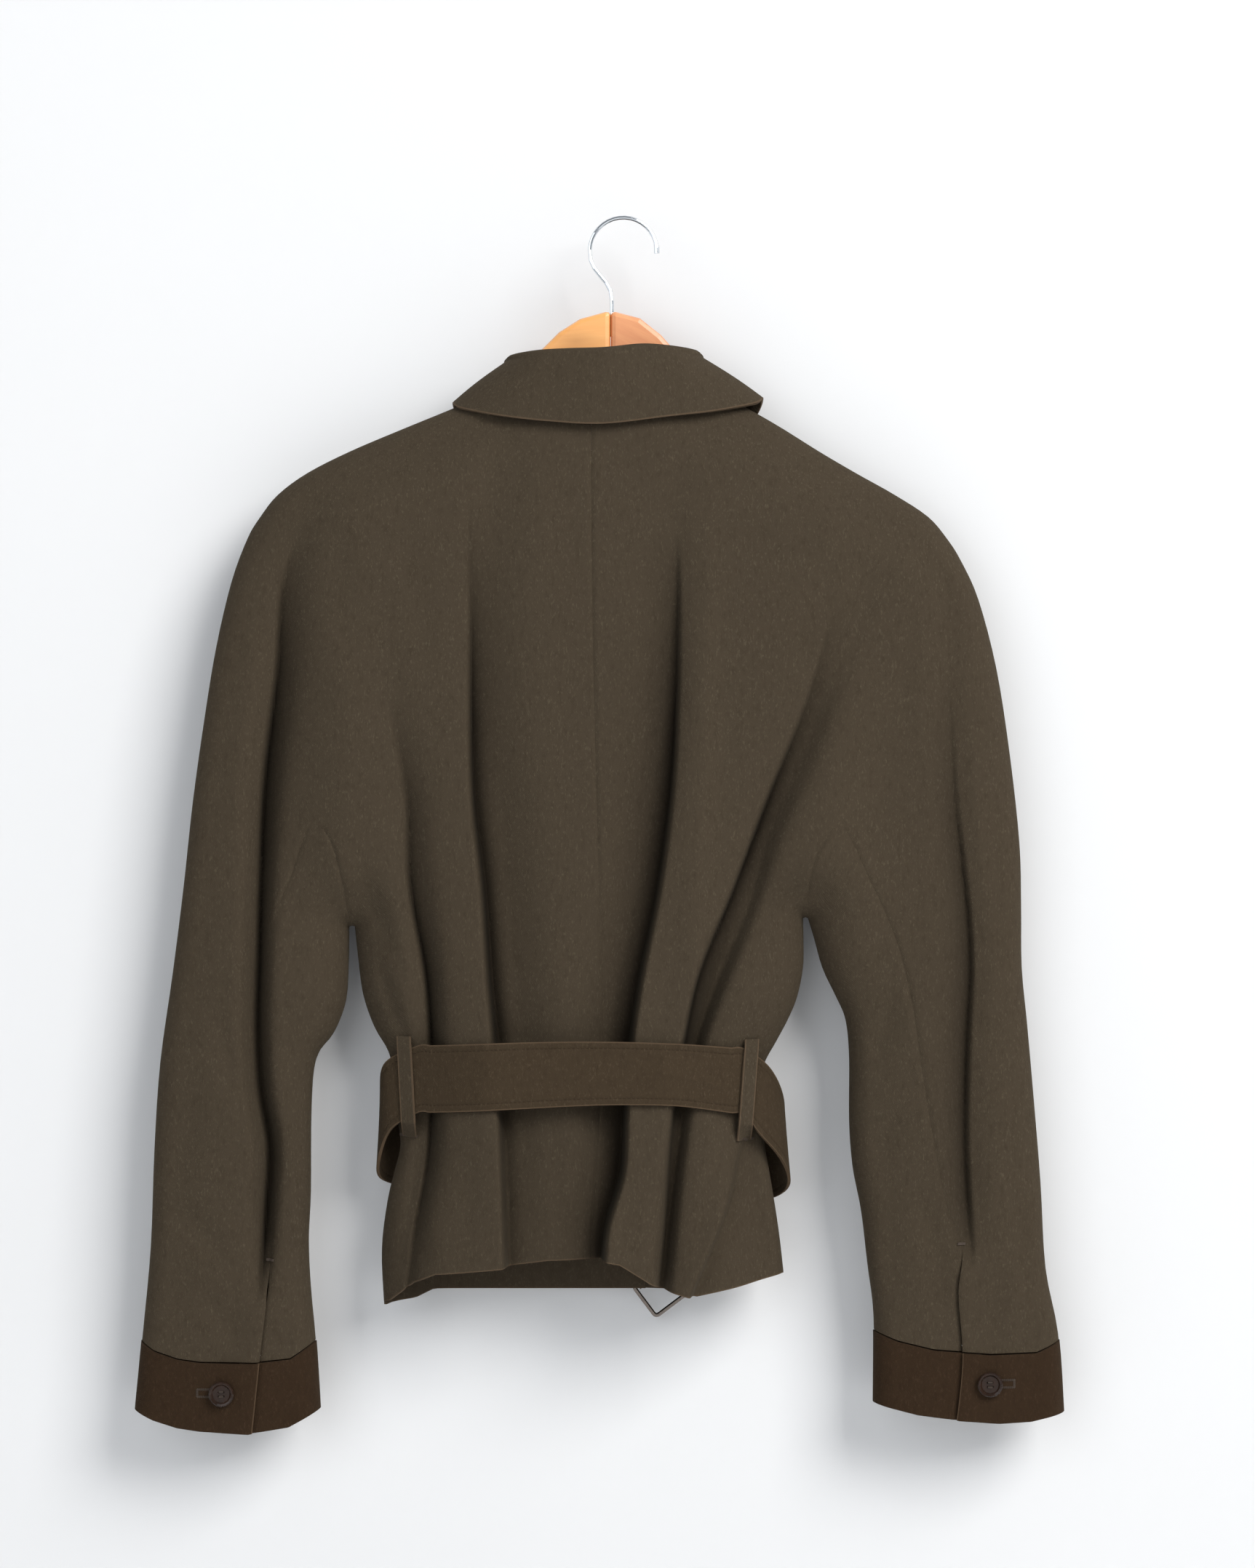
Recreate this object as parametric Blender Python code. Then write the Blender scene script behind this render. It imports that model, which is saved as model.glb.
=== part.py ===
"""A belted wool jacket on a wooden hanger, seen from behind.

The world is in metres with +Z up. The sizes here are millimetres, and MM turns them to metres
when a mesh is made. The origin is where the hanger's hook rests on its peg. The jacket's back faces -Y.
The cloth is two height fields, a back and a front, that meet along the garment's outline.
"""

import math
from collections import namedtuple

import bmesh
import bpy
import numpy as np
from mathutils import Vector

MM = 0.001

# Driving sizes
WALL = 2.0
SEAM_GAP = 0.35
EDGE_RADIUS = 15.0
FILL_REACH = 28.0
UNDERARM_TOP = -435.5
FORK_SHARES = (0.0, 0.33, 0.66, 0.85, 0.95, 1.0)
SHOULDER_ROWS = (0.0, 1.2, 4.5, 10.0)
UPPER_ROWS = {"back": 8, "front": 5}
BODY_ROWS = {"back": 11, "front": 7}
SLEEVE_ROWS = 10
EDGE_STEPS = (0.0, 1.2, 4.5, 10.0, 18.0)
CENTRE = -14.0
FRONT_LAP = 30.0
LAP_LIFT = 2.6
SLIT_TOP = {"left": -745.0, "right": -733.0}
SLIT_LIFT = 2.2
CUFF_LAP = 14.0
CUFF_LIFT = 0.6
CUFF_GAP = 1.3
CUFF_LAP_LIFT = 3.4
COLLAR_WALL = 2.8
COLLAR_ROLL = 3.2
BELT_WALL = 2.4
BELT_GAP = 1.0
LOOP_WALL = 1.6
LOOP_WIDTH = 10.0
LOOP_CLEAR = 1.4
LOOP_SEAT = 2.0
BUTTON_PROFILE = [(0.0, 0.0), (7.6, 0.0), (9.0, 1.0), (9.0, 2.8), (8.2, 3.6), (7.0, 3.4), (6.0, 2.4), (0.0, 2.4)]
BUTTON_HOLE = 0.9
BUTTON_HOLE_RING = 2.2
BUTTON_CLEAR = 0.6
HOOK_WIRE = 1.45
HOOK_RADIUS = 24.0
HANGER_DEPTH = 12.0
HANGER_REACH = 4.5
HANGER_JOINT = -9.1
FRAME_WIRE = 1.6
FRAME_WIDTH = 54.0
FRAME_LENGTH = 27.0
FRAME_CORNER = 2.6
PRONG_WIRE = 1.3
PRONG_RING = (-20.0, -270.0)
PRONG_CLEAR = 0.45
LAP_FADE = (70.0, 30.0)
SLIT_FADE = (24.0, 2.0)
SLIT_OPENS = 25.0
SLIT_SINK = -0.9
CUFF_LAP_FADE = 30.0
STEM_X = -8.1

Point = namedtuple("Point", "x z")
Row = namedtuple("Row", "z value")
Line = namedtuple("Line", "cells rows")
Fold = namedtuple("Fold", "path depth left right")
Step = namedtuple("Step", "path rise drop side up_fade down_fade")

# The garment's outline, from the neck over the shoulder and down the sleeve's outer edge
OUTER_EDGE = {
    "left": [Point(-80, -118), Point(-126, -137), Point(-159, -150.5), Point(-195.5, -166),
             Point(-226, -181.5), Point(-247, -197), Point(-259.5, -212.7), Point(-268.8, -228.3),
             Point(-280.3, -259.5), Point(-291, -305), Point(-299, -353), Point(-307.8, -415.5),
             Point(-314.6, -478), Point(-322.4, -540), Point(-331.2, -603), Point(-335.4, -665),
             Point(-338, -735), Point(-344, -800), Point(-350, -862), Point(-352, -880)],
    "right": [Point(52, -115), Point(104.5, -144), Point(140, -166), Point(166.4, -181.5),
              Point(194, -197), Point(217.9, -212.7), Point(231.4, -228.3), Point(241.3, -243.9),
              Point(254, -272), Point(267, -322), Point(276.6, -384), Point(283.4, -446.7),
              Point(284.6, -493), Point(285, -535), Point(289, -577), Point(294, -634),
              Point(298.5, -690), Point(302, -750), Point(311, -797), Point(315, -856),
              Point(316, -880)],
}
CORNER = {"left": Point(-247, -197), "right": Point(217.9, -212.7)}

# The sleeve's inner edge and the body's side, both down from the fork under the arm
SLEEVE_INNER = {
    "left": [Point(-196, -506), Point(-196.5, -536), Point(-198.5, -560), Point(-207, -582),
             Point(-219.5, -600), Point(-223, -635), Point(-223.5, -696), Point(-225, -730),
             Point(-223.5, -764), Point(-220, -802), Point(-217, -850), Point(-216, -880)],
    "right": [Point(132, -500), Point(136, -513), Point(142.5, -536), Point(152.5, -557),
              Point(159, -573), Point(161.5, -600), Point(161.5, -645), Point(164, -678),
              Point(170, -709), Point(174.5, -747), Point(179, -785), Point(179, -845),
              Point(179, -880)],
}
BODY_SIDE = {
    "left": [Point(-192, -506), Point(-189.5, -530), Point(-186, -555), Point(-178, -578),
             Point(-167, -598), Point(-165, -622), Point(-161.5, -644), Point(-159.5, -663),
             Point(-163.5, -680), Point(-169, -704), Point(-172.8, -738), Point(-171, -780),
             Point(-171, -800)],
    "right": [Point(128.5, -500), Point(129, -520), Point(128.5, -536), Point(124.5, -556),
              Point(118, -572), Point(109.5, -588), Point(100.5, -605), Point(99.3, -622),
              Point(99.5, -650), Point(106, -690), Point(111, -722), Point(114.5, -752),
              Point(117, -780)],
}

# Seams between the back and the underarm panel: along the sleeve, and along the body to the fork
SLEEVE_SEAM = {
    "left": [Row(-435.5, -223.6), Row(-452, -230), Row(-468, -235), Row(-484, -242), Row(-512, -250.5),
             Row(-530, -253), Row(-586, -254.6), Row(-622, -254.6), Row(-706, -251.5), Row(-745, -251.5),
             Row(-808, -257.7), Row(-870, -264)],
    "right": [Row(-435.5, 157), Row(-443, 161.2), Row(-467, 172.5), Row(-492, 184.4), Row(-521, 195.8),
              Row(-557, 204.5), Row(-612, 212.8), Row(-646, 218.5), Row(-679, 224.7), Row(-702, 229.3),
              Row(-734, 240.7), Row(-762, 238.1), Row(-808, 240.7), Row(-870, 235)],
}
BODY_SEAM = {
    "left": [Row(-435.5, -211.7), Row(-447, -206), Row(-459, -202.4), Row(-475, -198.8),
             Row(-492, -196.2), Row(-506, -194)],
    "right": [Row(-435.5, 148), Row(-452, 138), Row(-468, 133), Row(-486, 130.5), Row(-500, 130.2)],
}
FORK_Z = {"left": -506.0, "right": -500.0}

# Lines down the back that the mesh follows, each with the cells between it and the line before
CENTRE_BACK = [Row(-118, -23), Row(-300, -21.4), Row(-466, -17.4), Row(-584, -14.8), Row(-640, -17),
               Row(-740, -23)]
BAND_EDGE_LEFT = [Row(-140, -118), Row(-327, -116.3), Row(-384, -110.7), Row(-452, -99.9),
                  Row(-525, -90.8), Row(-587, -84.1), Row(-642, -82.6), Row(-744, -80.6)]
SIDE_VALLEY_LEFT = [Row(-170, -172), Row(-243, -176), Row(-295, -169.3), Row(-348, -163.1),
                    Row(-400, -154.9), Row(-477, -145.7), Row(-549, -138), Row(-588, -136.5),
                    Row(-641, -138), Row(-672, -142), Row(-718, -149.8), Row(-763, -155)]
INNER_VALLEY_LEFT = [Row(-118, -80), Row(-179, -91), Row(-303, -95.6), Row(-370, -91.5),
                     Row(-451, -82.2), Row(-518, -76.6), Row(-588, -69.4), Row(-640, -66), Row(-744, -64)]
INNER_VALLEY_RIGHT = [Row(-170, 37), Row(-236, 35), Row(-303, 33.4), Row(-357, 30.9), Row(-424, 22.7),
                      Row(-464, 14.9), Row(-518, 3.5), Row(-588, -7), Row(-640, -11), Row(-740, -19.5)]
BAND_EDGE_RIGHT = [Row(-250, 45), Row(-357, 38.8), Row(-450, 29.6), Row(-531, 17.4), Row(-583, 6.7),
                   Row(-640, -2.5), Row(-738, -13.5)]
BAND_RIDGE_RIGHT = [Row(-115, 52), Row(-237, 60.3), Row(-304, 57.7), Row(-384, 56.2), Row(-464, 52.6),
                    Row(-544, 49.5), Row(-585, 44), Row(-640, 33), Row(-760, 19)]
LONG_VALLEY_RIGHT = [Row(-200, 160), Row(-274, 166.5), Row(-316, 152.1), Row(-347, 139.3),
                     Row(-390, 122.8), Row(-437, 103.3), Row(-491, 87.4), Row(-545, 65.8),
                     Row(-586, 51.4), Row(-639, 41.6), Row(-762, 27.3)]
CORNER_FOLD_RIGHT = [Row(-200, 172), Row(-274, 180), Row(-347, 157), Row(-435, 128), Row(-500, 117),
                     Row(-556, 110), Row(-588, 97), Row(-620, 91), Row(-646, 89), Row(-667, 82),
                     Row(-694, 76.2), Row(-766, 48)]
ARM_LINE = {"left": [Row(-200, -205), Row(-435.5, -211.7)],
            "right": [Row(-200, 180), Row(-274, 188), Row(-347, 173), Row(-435.5, 148)]}
SLEEVE_VALLEY_LEFT = [Row(-203, -218), Row(-242, -236), Row(-326, -244.5), Row(-410, -252.8),
                      Row(-477, -256.4), Row(-535, -260), Row(-579, -262), Row(-622, -262.6),
                      Row(-661, -262), Row(-707, -258), Row(-746, -257), Row(-870, -272)]
SLEEVE_VALLEY_RIGHT = [Row(-215, 198), Row(-230, 207), Row(-250, 220), Row(-326, 229.8), Row(-368, 232.9),
                       Row(-410, 235), Row(-463, 241.2), Row(-499, 245.3), Row(-536, 246.9),
                       Row(-579, 245), Row(-661, 243.4), Row(-714, 246), Row(-734, 247), Row(-870, 250)]


def beside(rows, shift):
    """The same line moved sideways."""
    return [Row(row.z, row.value + shift) for row in rows]


BODY_LINES = {
    "left": [Line(0, CENTRE_BACK), Line(2, beside(INNER_VALLEY_LEFT, 9)),
             Line(1, beside(INNER_VALLEY_LEFT, 2.4)), Line(1, INNER_VALLEY_LEFT),
             Line(1, beside(BAND_EDGE_LEFT, 2)),
             Line(1, beside(BAND_EDGE_LEFT, -2)), Line(3, beside(SIDE_VALLEY_LEFT, 6)),
             Line(1, SIDE_VALLEY_LEFT)],
    "right": [Line(0, CENTRE_BACK), Line(2, INNER_VALLEY_RIGHT), Line(1, beside(BAND_EDGE_RIGHT, -2)),
              Line(1, beside(BAND_EDGE_RIGHT, 2)), Line(1, beside(BAND_RIDGE_RIGHT, -2.4)),
              Line(1, BAND_RIDGE_RIGHT), Line(2, beside(LONG_VALLEY_RIGHT, -5)), Line(1, LONG_VALLEY_RIGHT),
              Line(1, beside(LONG_VALLEY_RIGHT, 4)), Line(2, beside(CORNER_FOLD_RIGHT, -2)),
              Line(1, beside(CORNER_FOLD_RIGHT, 2))],
}
FRONT_LINES = {
    "left": [Line(0, [Row(-200, CENTRE + FRONT_LAP)]), Line(2, [Row(-200, CENTRE - FRONT_LAP)]),
             Line(2, [Row(-118, -72), Row(-300, -84)]), Line(1, [Row(-118, -77.6), Row(-300, -88)]),
             Line(1, [Row(-118, -80), Row(-300, -93)])],
    "right": [Line(0, [Row(-200, CENTRE - FRONT_LAP)]), Line(2, [Row(-200, CENTRE + FRONT_LAP)]),
              Line(2, [Row(-115, 44), Row(-300, 54)]), Line(1, [Row(-115, 49.6), Row(-300, 58)]),
              Line(1, [Row(-115, 52), Row(-300, 63)])],
}
SIDE_CELLS = {"left": 3, "right": 2}
FRONT_SIDE_CELLS = 3
SLEEVE_LINES = {
    "left": [Line(1, SLEEVE_VALLEY_LEFT),
             Line(1, beside(SLEEVE_VALLEY_LEFT, -8))],
    "right": [Line(2, beside(SLEEVE_VALLEY_RIGHT, -7)), Line(1, SLEEVE_VALLEY_RIGHT)],
}

# Folds in the back: troughs (positive depth) and ridges, and steps where a band folds over
TROUGHS = [
    Fold(SLEEVE_VALLEY_LEFT, [Row(-195, 0), Row(-242, 4), Row(-326, 8), Row(-410, 12), Row(-477, 14),
                              Row(-535, 16), Row(-660, 16), Row(-707, 12), Row(-746, 5), Row(-775, 0)],
         [Row(-300, 16), Row(-450, 11), Row(-660, 9)], [Row(-300, 16), Row(-450, 11), Row(-660, 9)]),
    Fold(SIDE_VALLEY_LEFT, [Row(-240, 0), Row(-300, 2), Row(-400, 4), Row(-477, 6), Row(-549, 9),
                            Row(-641, 9), Row(-672, 7), Row(-720, 4), Row(-763, 2)],
         [Row(-300, 18), Row(-588, 11)], [Row(-300, 16), Row(-588, 8)]),
    Fold(INNER_VALLEY_LEFT, [Row(-140, 0), Row(-200, 3), Row(-303, 4), Row(-370, 5), Row(-450, 6),
                             Row(-588, 5), Row(-640, 3), Row(-744, 1)],
         [Row(-300, 14), Row(-500, 11)], [Row(-300, 20)]),
    Fold(INNER_VALLEY_RIGHT, [Row(-165, 0), Row(-236, 3), Row(-303, 5), Row(-357, 6), Row(-518, 7),
                              Row(-588, 5), Row(-640, 2), Row(-740, 0)],
         [Row(-300, 20)], [Row(-300, 12), Row(-500, 10)]),
    Fold(BAND_RIDGE_RIGHT, [Row(-200, 0), Row(-304, -3), Row(-384, -4), Row(-464, -5), Row(-585, -5),
                            Row(-760, -3)],
         [Row(-300, 16)], [Row(-300, 9)]),
    Fold(LONG_VALLEY_RIGHT, [Row(-240, 0), Row(-290, 4), Row(-350, 7), Row(-437, 9), Row(-491, 11),
                             Row(-545, 13), Row(-586, 14), Row(-639, 14), Row(-762, 12)],
         [Row(-300, 18), Row(-437, 14), Row(-545, 8), Row(-586, 6)],
         [Row(-300, 14), Row(-437, 9), Row(-545, 6), Row(-700, 4.5)]),
    Fold(SLEEVE_VALLEY_RIGHT, [Row(-225, 0), Row(-290, 4), Row(-410, 6), Row(-536, 7), Row(-661, 7),
                               Row(-714, 5), Row(-750, 1)],
         [Row(-300, 13)], [Row(-300, 12)]),
]
STEPS = [
    Step(BAND_EDGE_LEFT, [Row(-330, 0), Row(-384, 2), Row(-452, 4), Row(-525, 6), Row(-587, 8),
                          Row(-642, 9), Row(-744, 8)],
         [Row(-330, 0), Row(-452, 3), Row(-525, 5), Row(-587, 7), Row(-642, 9), Row(-744, 9)], -1, 30, 26),
    Step(BAND_EDGE_RIGHT, [Row(-350, 0), Row(-450, 4), Row(-531, 6), Row(-583, 8), Row(-640, 9),
                           Row(-738, 8)],
         [Row(-350, 0), Row(-450, 3), Row(-583, 7), Row(-640, 9), Row(-738, 9)], 1, 30, 26),
    Step(CORNER_FOLD_RIGHT, [Row(-640, 0), Row(-667, 3), Row(-694, 4), Row(-766, 4)],
         [Row(-622, 0), Row(-646, 5), Row(-694, 12), Row(-766, 17)], -1, 20, 60),
]
STEP_WIDTH = 1.8

# The wall's direction is read over a fine step near the outline and over a wide one inside it
FINE_STEP = 0.002
WIDE_STEP = 4.0

# How far the cloth stands out from the middle plane, for the body and for the sleeves
BODY_FILL = {"back": [Row(-118, 24), Row(-160, 29), Row(-250, 33), Row(-435, 34), Row(-560, 36),
                      Row(-620, 37), Row(-680, 42), Row(-770, 46)],
             "front": [Row(-118, 16), Row(-180, 21), Row(-300, 24), Row(-600, 23), Row(-770, 25)]}
SLEEVE_FILL = {"back": [Row(-250, 27), Row(-435, 24), Row(-600, 23), Row(-740, 21), Row(-800, 19)],
               "front": [Row(-250, 19), Row(-435, 17), Row(-800, 16)]}
SLEEVE_BLEND = {"left": (-190.0, -240.0), "right": (140.0, 190.0)}

# Lower and upper edges, as x along the edge and its height
HEM = {
    "back": [Point(-175, -775), Point(-167, -772), Point(-157, -764), Point(-149, -757), Point(-133, -750),
             Point(-113, -748), Point(-82, -744.6), Point(-53, -740.3), Point(-17, -739.5),
             Point(-2.5, -742), Point(12, -751), Point(25.6, -759.6), Point(48, -766), Point(52, -767),
             Point(81.5, -760.6), Point(118, -752)],
    "front": [Point(-175, -777), Point(-150, -774), Point(-137, -768), Point(14, -768), Point(50, -769),
              Point(81.5, -762), Point(118, -753)],
}
NECK = {"back": [Point(-80, -118), Point(-60, -121), Point(-14, -123), Point(30, -120), Point(52, -115)],
        "front": [Point(-80, -118), Point(-62, -139), Point(-40, -163), Point(-14, -176), Point(14, -163),
                  Point(35, -138), Point(52, -115)]}
CUFF_TOP = {"left": [Point(-346, -801), Point(-334, -808), Point(-317, -813.5), Point(-301, -815.6),
                     Point(-262, -816), Point(-237, -813.5), Point(-218, -801)],
            "right": [Point(177, -794), Point(195.5, -801), Point(220.8, -806.8), Point(261, -810),
                      Point(294, -809), Point(313, -801)]}
CUFF_BOTTOM = {"left": [Point(-350, -850), Point(-334, -857), Point(-317, -862), Point(-301, -864.2),
                        Point(-267, -866), Point(-238, -861.6), Point(-215, -849)],
               "right": [Point(177, -845), Point(209.4, -852.8), Point(240, -856.5), Point(267, -858.5),
                         Point(290, -857.5), Point(315, -852)]}


def level(rows, z):
    """A value read from a table of rows at the heights z, smooth between rows and level past them."""
    table = sorted(rows)
    keys = np.array([row[0] for row in table], float)
    values = np.array([row[1] for row in table], float)
    if len(keys) == 1:
        return np.full_like(np.asarray(z, float), values[0])
    slopes = np.gradient(values, keys)
    place = np.clip(np.asarray(z, float), keys[0], keys[-1])
    index = np.clip(np.searchsorted(keys, place) - 1, 0, len(keys) - 2)
    span = keys[index + 1] - keys[index]
    part = (place - keys[index]) / span
    start = values[index] * (1 + 2 * part) + slopes[index] * span * part
    end = values[index + 1] * (3 - 2 * part) - slopes[index + 1] * span * (1 - part)
    return start * (1 - part) ** 2 + end * part ** 2


def smooth_step(low, high, value):
    """0 at low and 1 at high, with a soft start and end."""
    part = np.clip((value - low) / (high - low), 0.0, 1.0)
    return part * part * (3 - 2 * part)


def trace(points, pieces=4):
    """A dense smooth line through hand-placed points."""
    count = len(points)
    places = np.linspace(0, count - 1, (count - 1) * pieces + 1)
    along_x = level([Row(i, point.x) for i, point in enumerate(points)], places)
    along_z = level([Row(i, point.z) for i, point in enumerate(points)], places)
    return np.stack([along_x, along_z], axis=1)


OUTLINE = {side: trace(OUTER_EDGE[side]) for side in ("left", "right")}
INNER_LINE = {side: np.concatenate([trace(SLEEVE_INNER[side])[::-1], trace(BODY_SIDE[side])])
              for side in ("left", "right")}
NECK_LINE = trace([Point(-80, -118), Point(-60, -103), Point(-38, -91), Point(-14, -86), Point(12, -90),
                   Point(34, -101), Point(52, -115)])
RIMS = [NECK_LINE, OUTLINE["left"], INNER_LINE["left"], INNER_LINE["right"], OUTLINE["right"]]
RIM_STARTS = np.concatenate([line[:-1] for line in RIMS])
RIM_RUNS = np.concatenate([line[1:] - line[:-1] for line in RIMS])
RIM_LENGTH2 = (RIM_RUNS ** 2).sum(axis=1)
WHOLE_SHAPE = np.concatenate([OUTLINE["left"], INNER_LINE["left"], INNER_LINE["right"][::-1],
                              OUTLINE["right"][::-1], NECK_LINE[::-1]])


def inside_shape(points):
    """Which points lie within the garment's outline, by counting the edges to their right."""
    x, z = points[:, :1], points[:, 1:]
    start = WHOLE_SHAPE[None, :, :]
    end = np.roll(WHOLE_SHAPE, -1, axis=0)[None, :, :]
    spans = (start[..., 1] > z) != (end[..., 1] > z)
    rise = np.where(spans, end[..., 1] - start[..., 1], 1.0)
    cross = start[..., 0] + (z - start[..., 1]) * (end[..., 0] - start[..., 0]) / rise
    return (spans & (x < cross)).sum(axis=1) % 2 == 1


def edge_distance(x, z):
    """How far inside the outline each point lies, and 0 outside."""
    flat = np.stack([np.ravel(x), np.ravel(z)], axis=1)
    offset = flat[:, None, :] - RIM_STARTS[None, :, :]
    along_rim = np.clip((offset * RIM_RUNS).sum(axis=2) / RIM_LENGTH2, 0, 1)
    away = offset - along_rim[..., None] * RIM_RUNS
    distance = np.sqrt((away ** 2).sum(axis=2).min(axis=1))
    return np.where(inside_shape(flat), distance, 0.0).reshape(np.shape(x))


def sleeve_share(x):
    """1 on a sleeve, 0 on the body, blended between them."""
    left = smooth_step(SLEEVE_BLEND["left"][0], SLEEVE_BLEND["left"][1], x)
    right = smooth_step(SLEEVE_BLEND["right"][0], SLEEVE_BLEND["right"][1], x)
    return np.where(x < CENTRE, left, right)


def fold_height(x, z):
    """What the folds add to the back's height."""
    height = np.zeros_like(x)
    for fold in TROUGHS:
        aside = x - level(fold.path, z)
        width = np.where(aside < 0, level(fold.left, z), level(fold.right, z))
        height = height - level(fold.depth, z) * np.exp(-(aside / width) ** 2)
    for step in STEPS:
        aside = (x - level(step.path, z)) * step.side
        share = 0.5 * (1 + np.tanh(aside / STEP_WIDTH))
        up = level(step.rise, z) * share * np.exp(-(np.maximum(aside, 0) / step.up_fade) ** 2)
        down = level(step.drop, z) * (1 - share) * np.exp(-(np.minimum(aside, 0) / step.down_fade) ** 2)
        height = height + up - down
    return height


def cloth_height(x, z, face):
    """The cloth's distance from the middle plane, on the back or the front."""
    depth = edge_distance(x, z)
    part = np.clip(depth / EDGE_RADIUS, 0, 1)
    rim = EDGE_RADIUS * np.sqrt(1 - (1 - part) ** 2)
    sleeve = sleeve_share(x)
    fill = level(BODY_FILL[face], z) * (1 - sleeve) + level(SLEEVE_FILL[face], z) * sleeve
    inside = 1 - np.exp(-(depth / FILL_REACH) ** 2)
    height = rim + (fill - EDGE_RADIUS) * inside
    if face == "back":
        height = height + fold_height(x, z) * (1 - np.exp(-(depth / 10.0) ** 2))
    return height


def cloth_surface(x, z, face):
    """Points on the cloth's outer surface and the directions that point out of it."""
    sign = -1.0 if face == "back" else 1.0
    step = FINE_STEP + WIDE_STEP * smooth_step(5.0, 16.0, edge_distance(x, z))
    height = cloth_height(x, z, face)
    slope_x = (cloth_height(x + step, z, face) - cloth_height(x - step, z, face)) / (2 * step)
    slope_z = (cloth_height(x, z + step, face) - cloth_height(x, z - step, face)) / (2 * step)
    points = np.stack([x, sign * np.maximum(height, 0.0), z], axis=-1)
    normals = np.stack([-slope_x, np.full_like(x, sign), -slope_z], axis=-1)
    normals /= np.linalg.norm(normals, axis=-1, keepdims=True)
    return points, normals


def top_height(x, side, face):
    """The upper edge at x: the neck seam between the neck points, the shoulder beyond them."""
    neck = NECK[face]
    if neck[0].x <= x <= neck[-1].x:
        return float(np.interp(x, [point.x for point in neck], [point.z for point in neck]))
    line = OUTLINE[side]
    order = np.argsort(line[:, 0])
    return float(np.interp(x, line[order, 0], line[order, 1]))


def outer_x(side, z):
    """The sleeve's outer edge at the heights z, level above the shoulder's corner."""
    line = OUTLINE[side]
    below = line[line[:, 1] <= CORNER[side].z + 0.01]
    order = np.argsort(below[:, 1])
    return np.interp(z, below[order, 1], below[order, 0])


def edge_x(points, z):
    """A traced edge's x at the heights z."""
    line = trace(points)
    order = np.argsort(line[:, 1])
    return np.interp(z, line[order, 1], line[order, 0])


class Cloth:
    """A cloth wall made from patches of its outer surface."""

    def __init__(self, name, wall, colour):
        self.name, self.wall, self.colour = name, wall, colour
        self.index, self.outer, self.inner, self.quads = {}, [], [], []

    def corner(self, point, normal):
        """The number of the corner at a point, made the first time it is met."""
        key = tuple(np.round(point, 3))
        if key not in self.index:
            self.index[key] = len(self.outer)
            self.outer.append(point)
            self.inner.append(point - normal * self.wall)
        return self.index[key]

    def patch(self, points, normals, skip=()):
        """Add a grid of points as quads, apart from the cells named in skip."""
        numbers = [[self.corner(p, n) for p, n in zip(row, lean)] for row, lean in zip(points, normals)]
        for i in range(len(numbers) - 1):
            for j in range(len(numbers[0]) - 1):
                if (i, j) in skip:
                    continue
                quad = [numbers[i][j], numbers[i][j + 1], numbers[i + 1][j + 1], numbers[i + 1][j]]
                if len(set(quad)) > 2:
                    self.quads.append([corner for k, corner in enumerate(quad) if corner not in quad[:k]])

    def halves(self, quad):
        """A quad's two triangles, parted along its shorter diagonal on both sides of the wall."""
        if len(quad) == 3:
            return [quad]
        a, b, c, d = quad
        first = np.linalg.norm(self.outer[a] - self.outer[c])
        second = np.linalg.norm(self.outer[b] - self.outer[d])
        return [[a, b, c], [a, c, d]] if first < second else [[a, b, d], [b, c, d]]

    def make(self):
        """Join the outer and inner faces round their free edges into one closed wall."""
        work = bmesh.new()
        outer = [work.verts.new(Vector(point) * MM) for point in self.outer]
        inner = [work.verts.new(Vector(point) * MM) for point in self.inner]
        uses = {}
        for quad in self.quads:
            for triangle in self.halves(quad):
                work.faces.new([outer[i] for i in triangle])
                work.faces.new([inner[i] for i in reversed(triangle)])
            for a, b in zip(quad, quad[1:] + quad[:1]):
                uses.setdefault(frozenset((a, b)), []).append((a, b))
        for ways in uses.values():
            if len(ways) == 1:
                a, b = ways[0]
                work.faces.new([outer[b], outer[a], inner[a], inner[b]])
        return finish(work, self.name, self.colour)


def finish(work, name, colour, smooth=True):
    """Turn a bmesh into a named object with outward faces and its own material."""
    bmesh.ops.recalc_face_normals(work, faces=work.faces)
    mesh = bpy.data.meshes.new(name)
    work.to_mesh(mesh)
    work.free()
    mesh.materials.append(material(name, colour))
    if smooth:
        mesh.shade_smooth()
        mesh.set_sharp_from_angle(angle=math.radians(45))
    piece = bpy.data.objects.new(name, mesh)
    bpy.context.collection.objects.link(piece)
    return piece


Finish = namedtuple("Finish", "colour roughness metallic")
WOOL = Finish((0.062, 0.048, 0.031), 0.9, 0.0)
HORN = Finish((0.012, 0.007, 0.005), 0.25, 0.0)
NICKEL = Finish((0.16, 0.14, 0.13), 0.25, 1.0)
STEEL = Finish((0.55, 0.56, 0.58), 0.2, 1.0)
PALE_WOOD = Finish((0.75, 0.45, 0.2), 0.45, 0.0)
RED_WOOD = Finish((0.62, 0.33, 0.17), 0.45, 0.0)


def material(name, look):
    """A Principled material for one piece."""
    made = bpy.data.materials.new(name)
    made.use_nodes = True
    shader = made.node_tree.nodes["Principled BSDF"]
    shader.inputs["Base Color"].default_value = (*look.colour, 1.0)
    shader.inputs["Roughness"].default_value = look.roughness
    shader.inputs["Metallic"].default_value = look.metallic
    return made


def between_lines(lines, last, last_cells):
    """Columns of x between named lines, each column read at its own heights."""
    tracks = [(line.cells, lambda z, rows=line.rows: level(rows, z)) for line in lines]
    tracks.append((last_cells, last))
    columns = [tracks[0][1]]
    for (_, before), (cells, after) in zip(tracks, tracks[1:]):
        for k in range(1, cells + 1):
            share = k / cells
            columns.append(lambda z, a=before, b=after, s=share: a(z) * (1 - s) + b(z) * s)
    return columns


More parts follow.
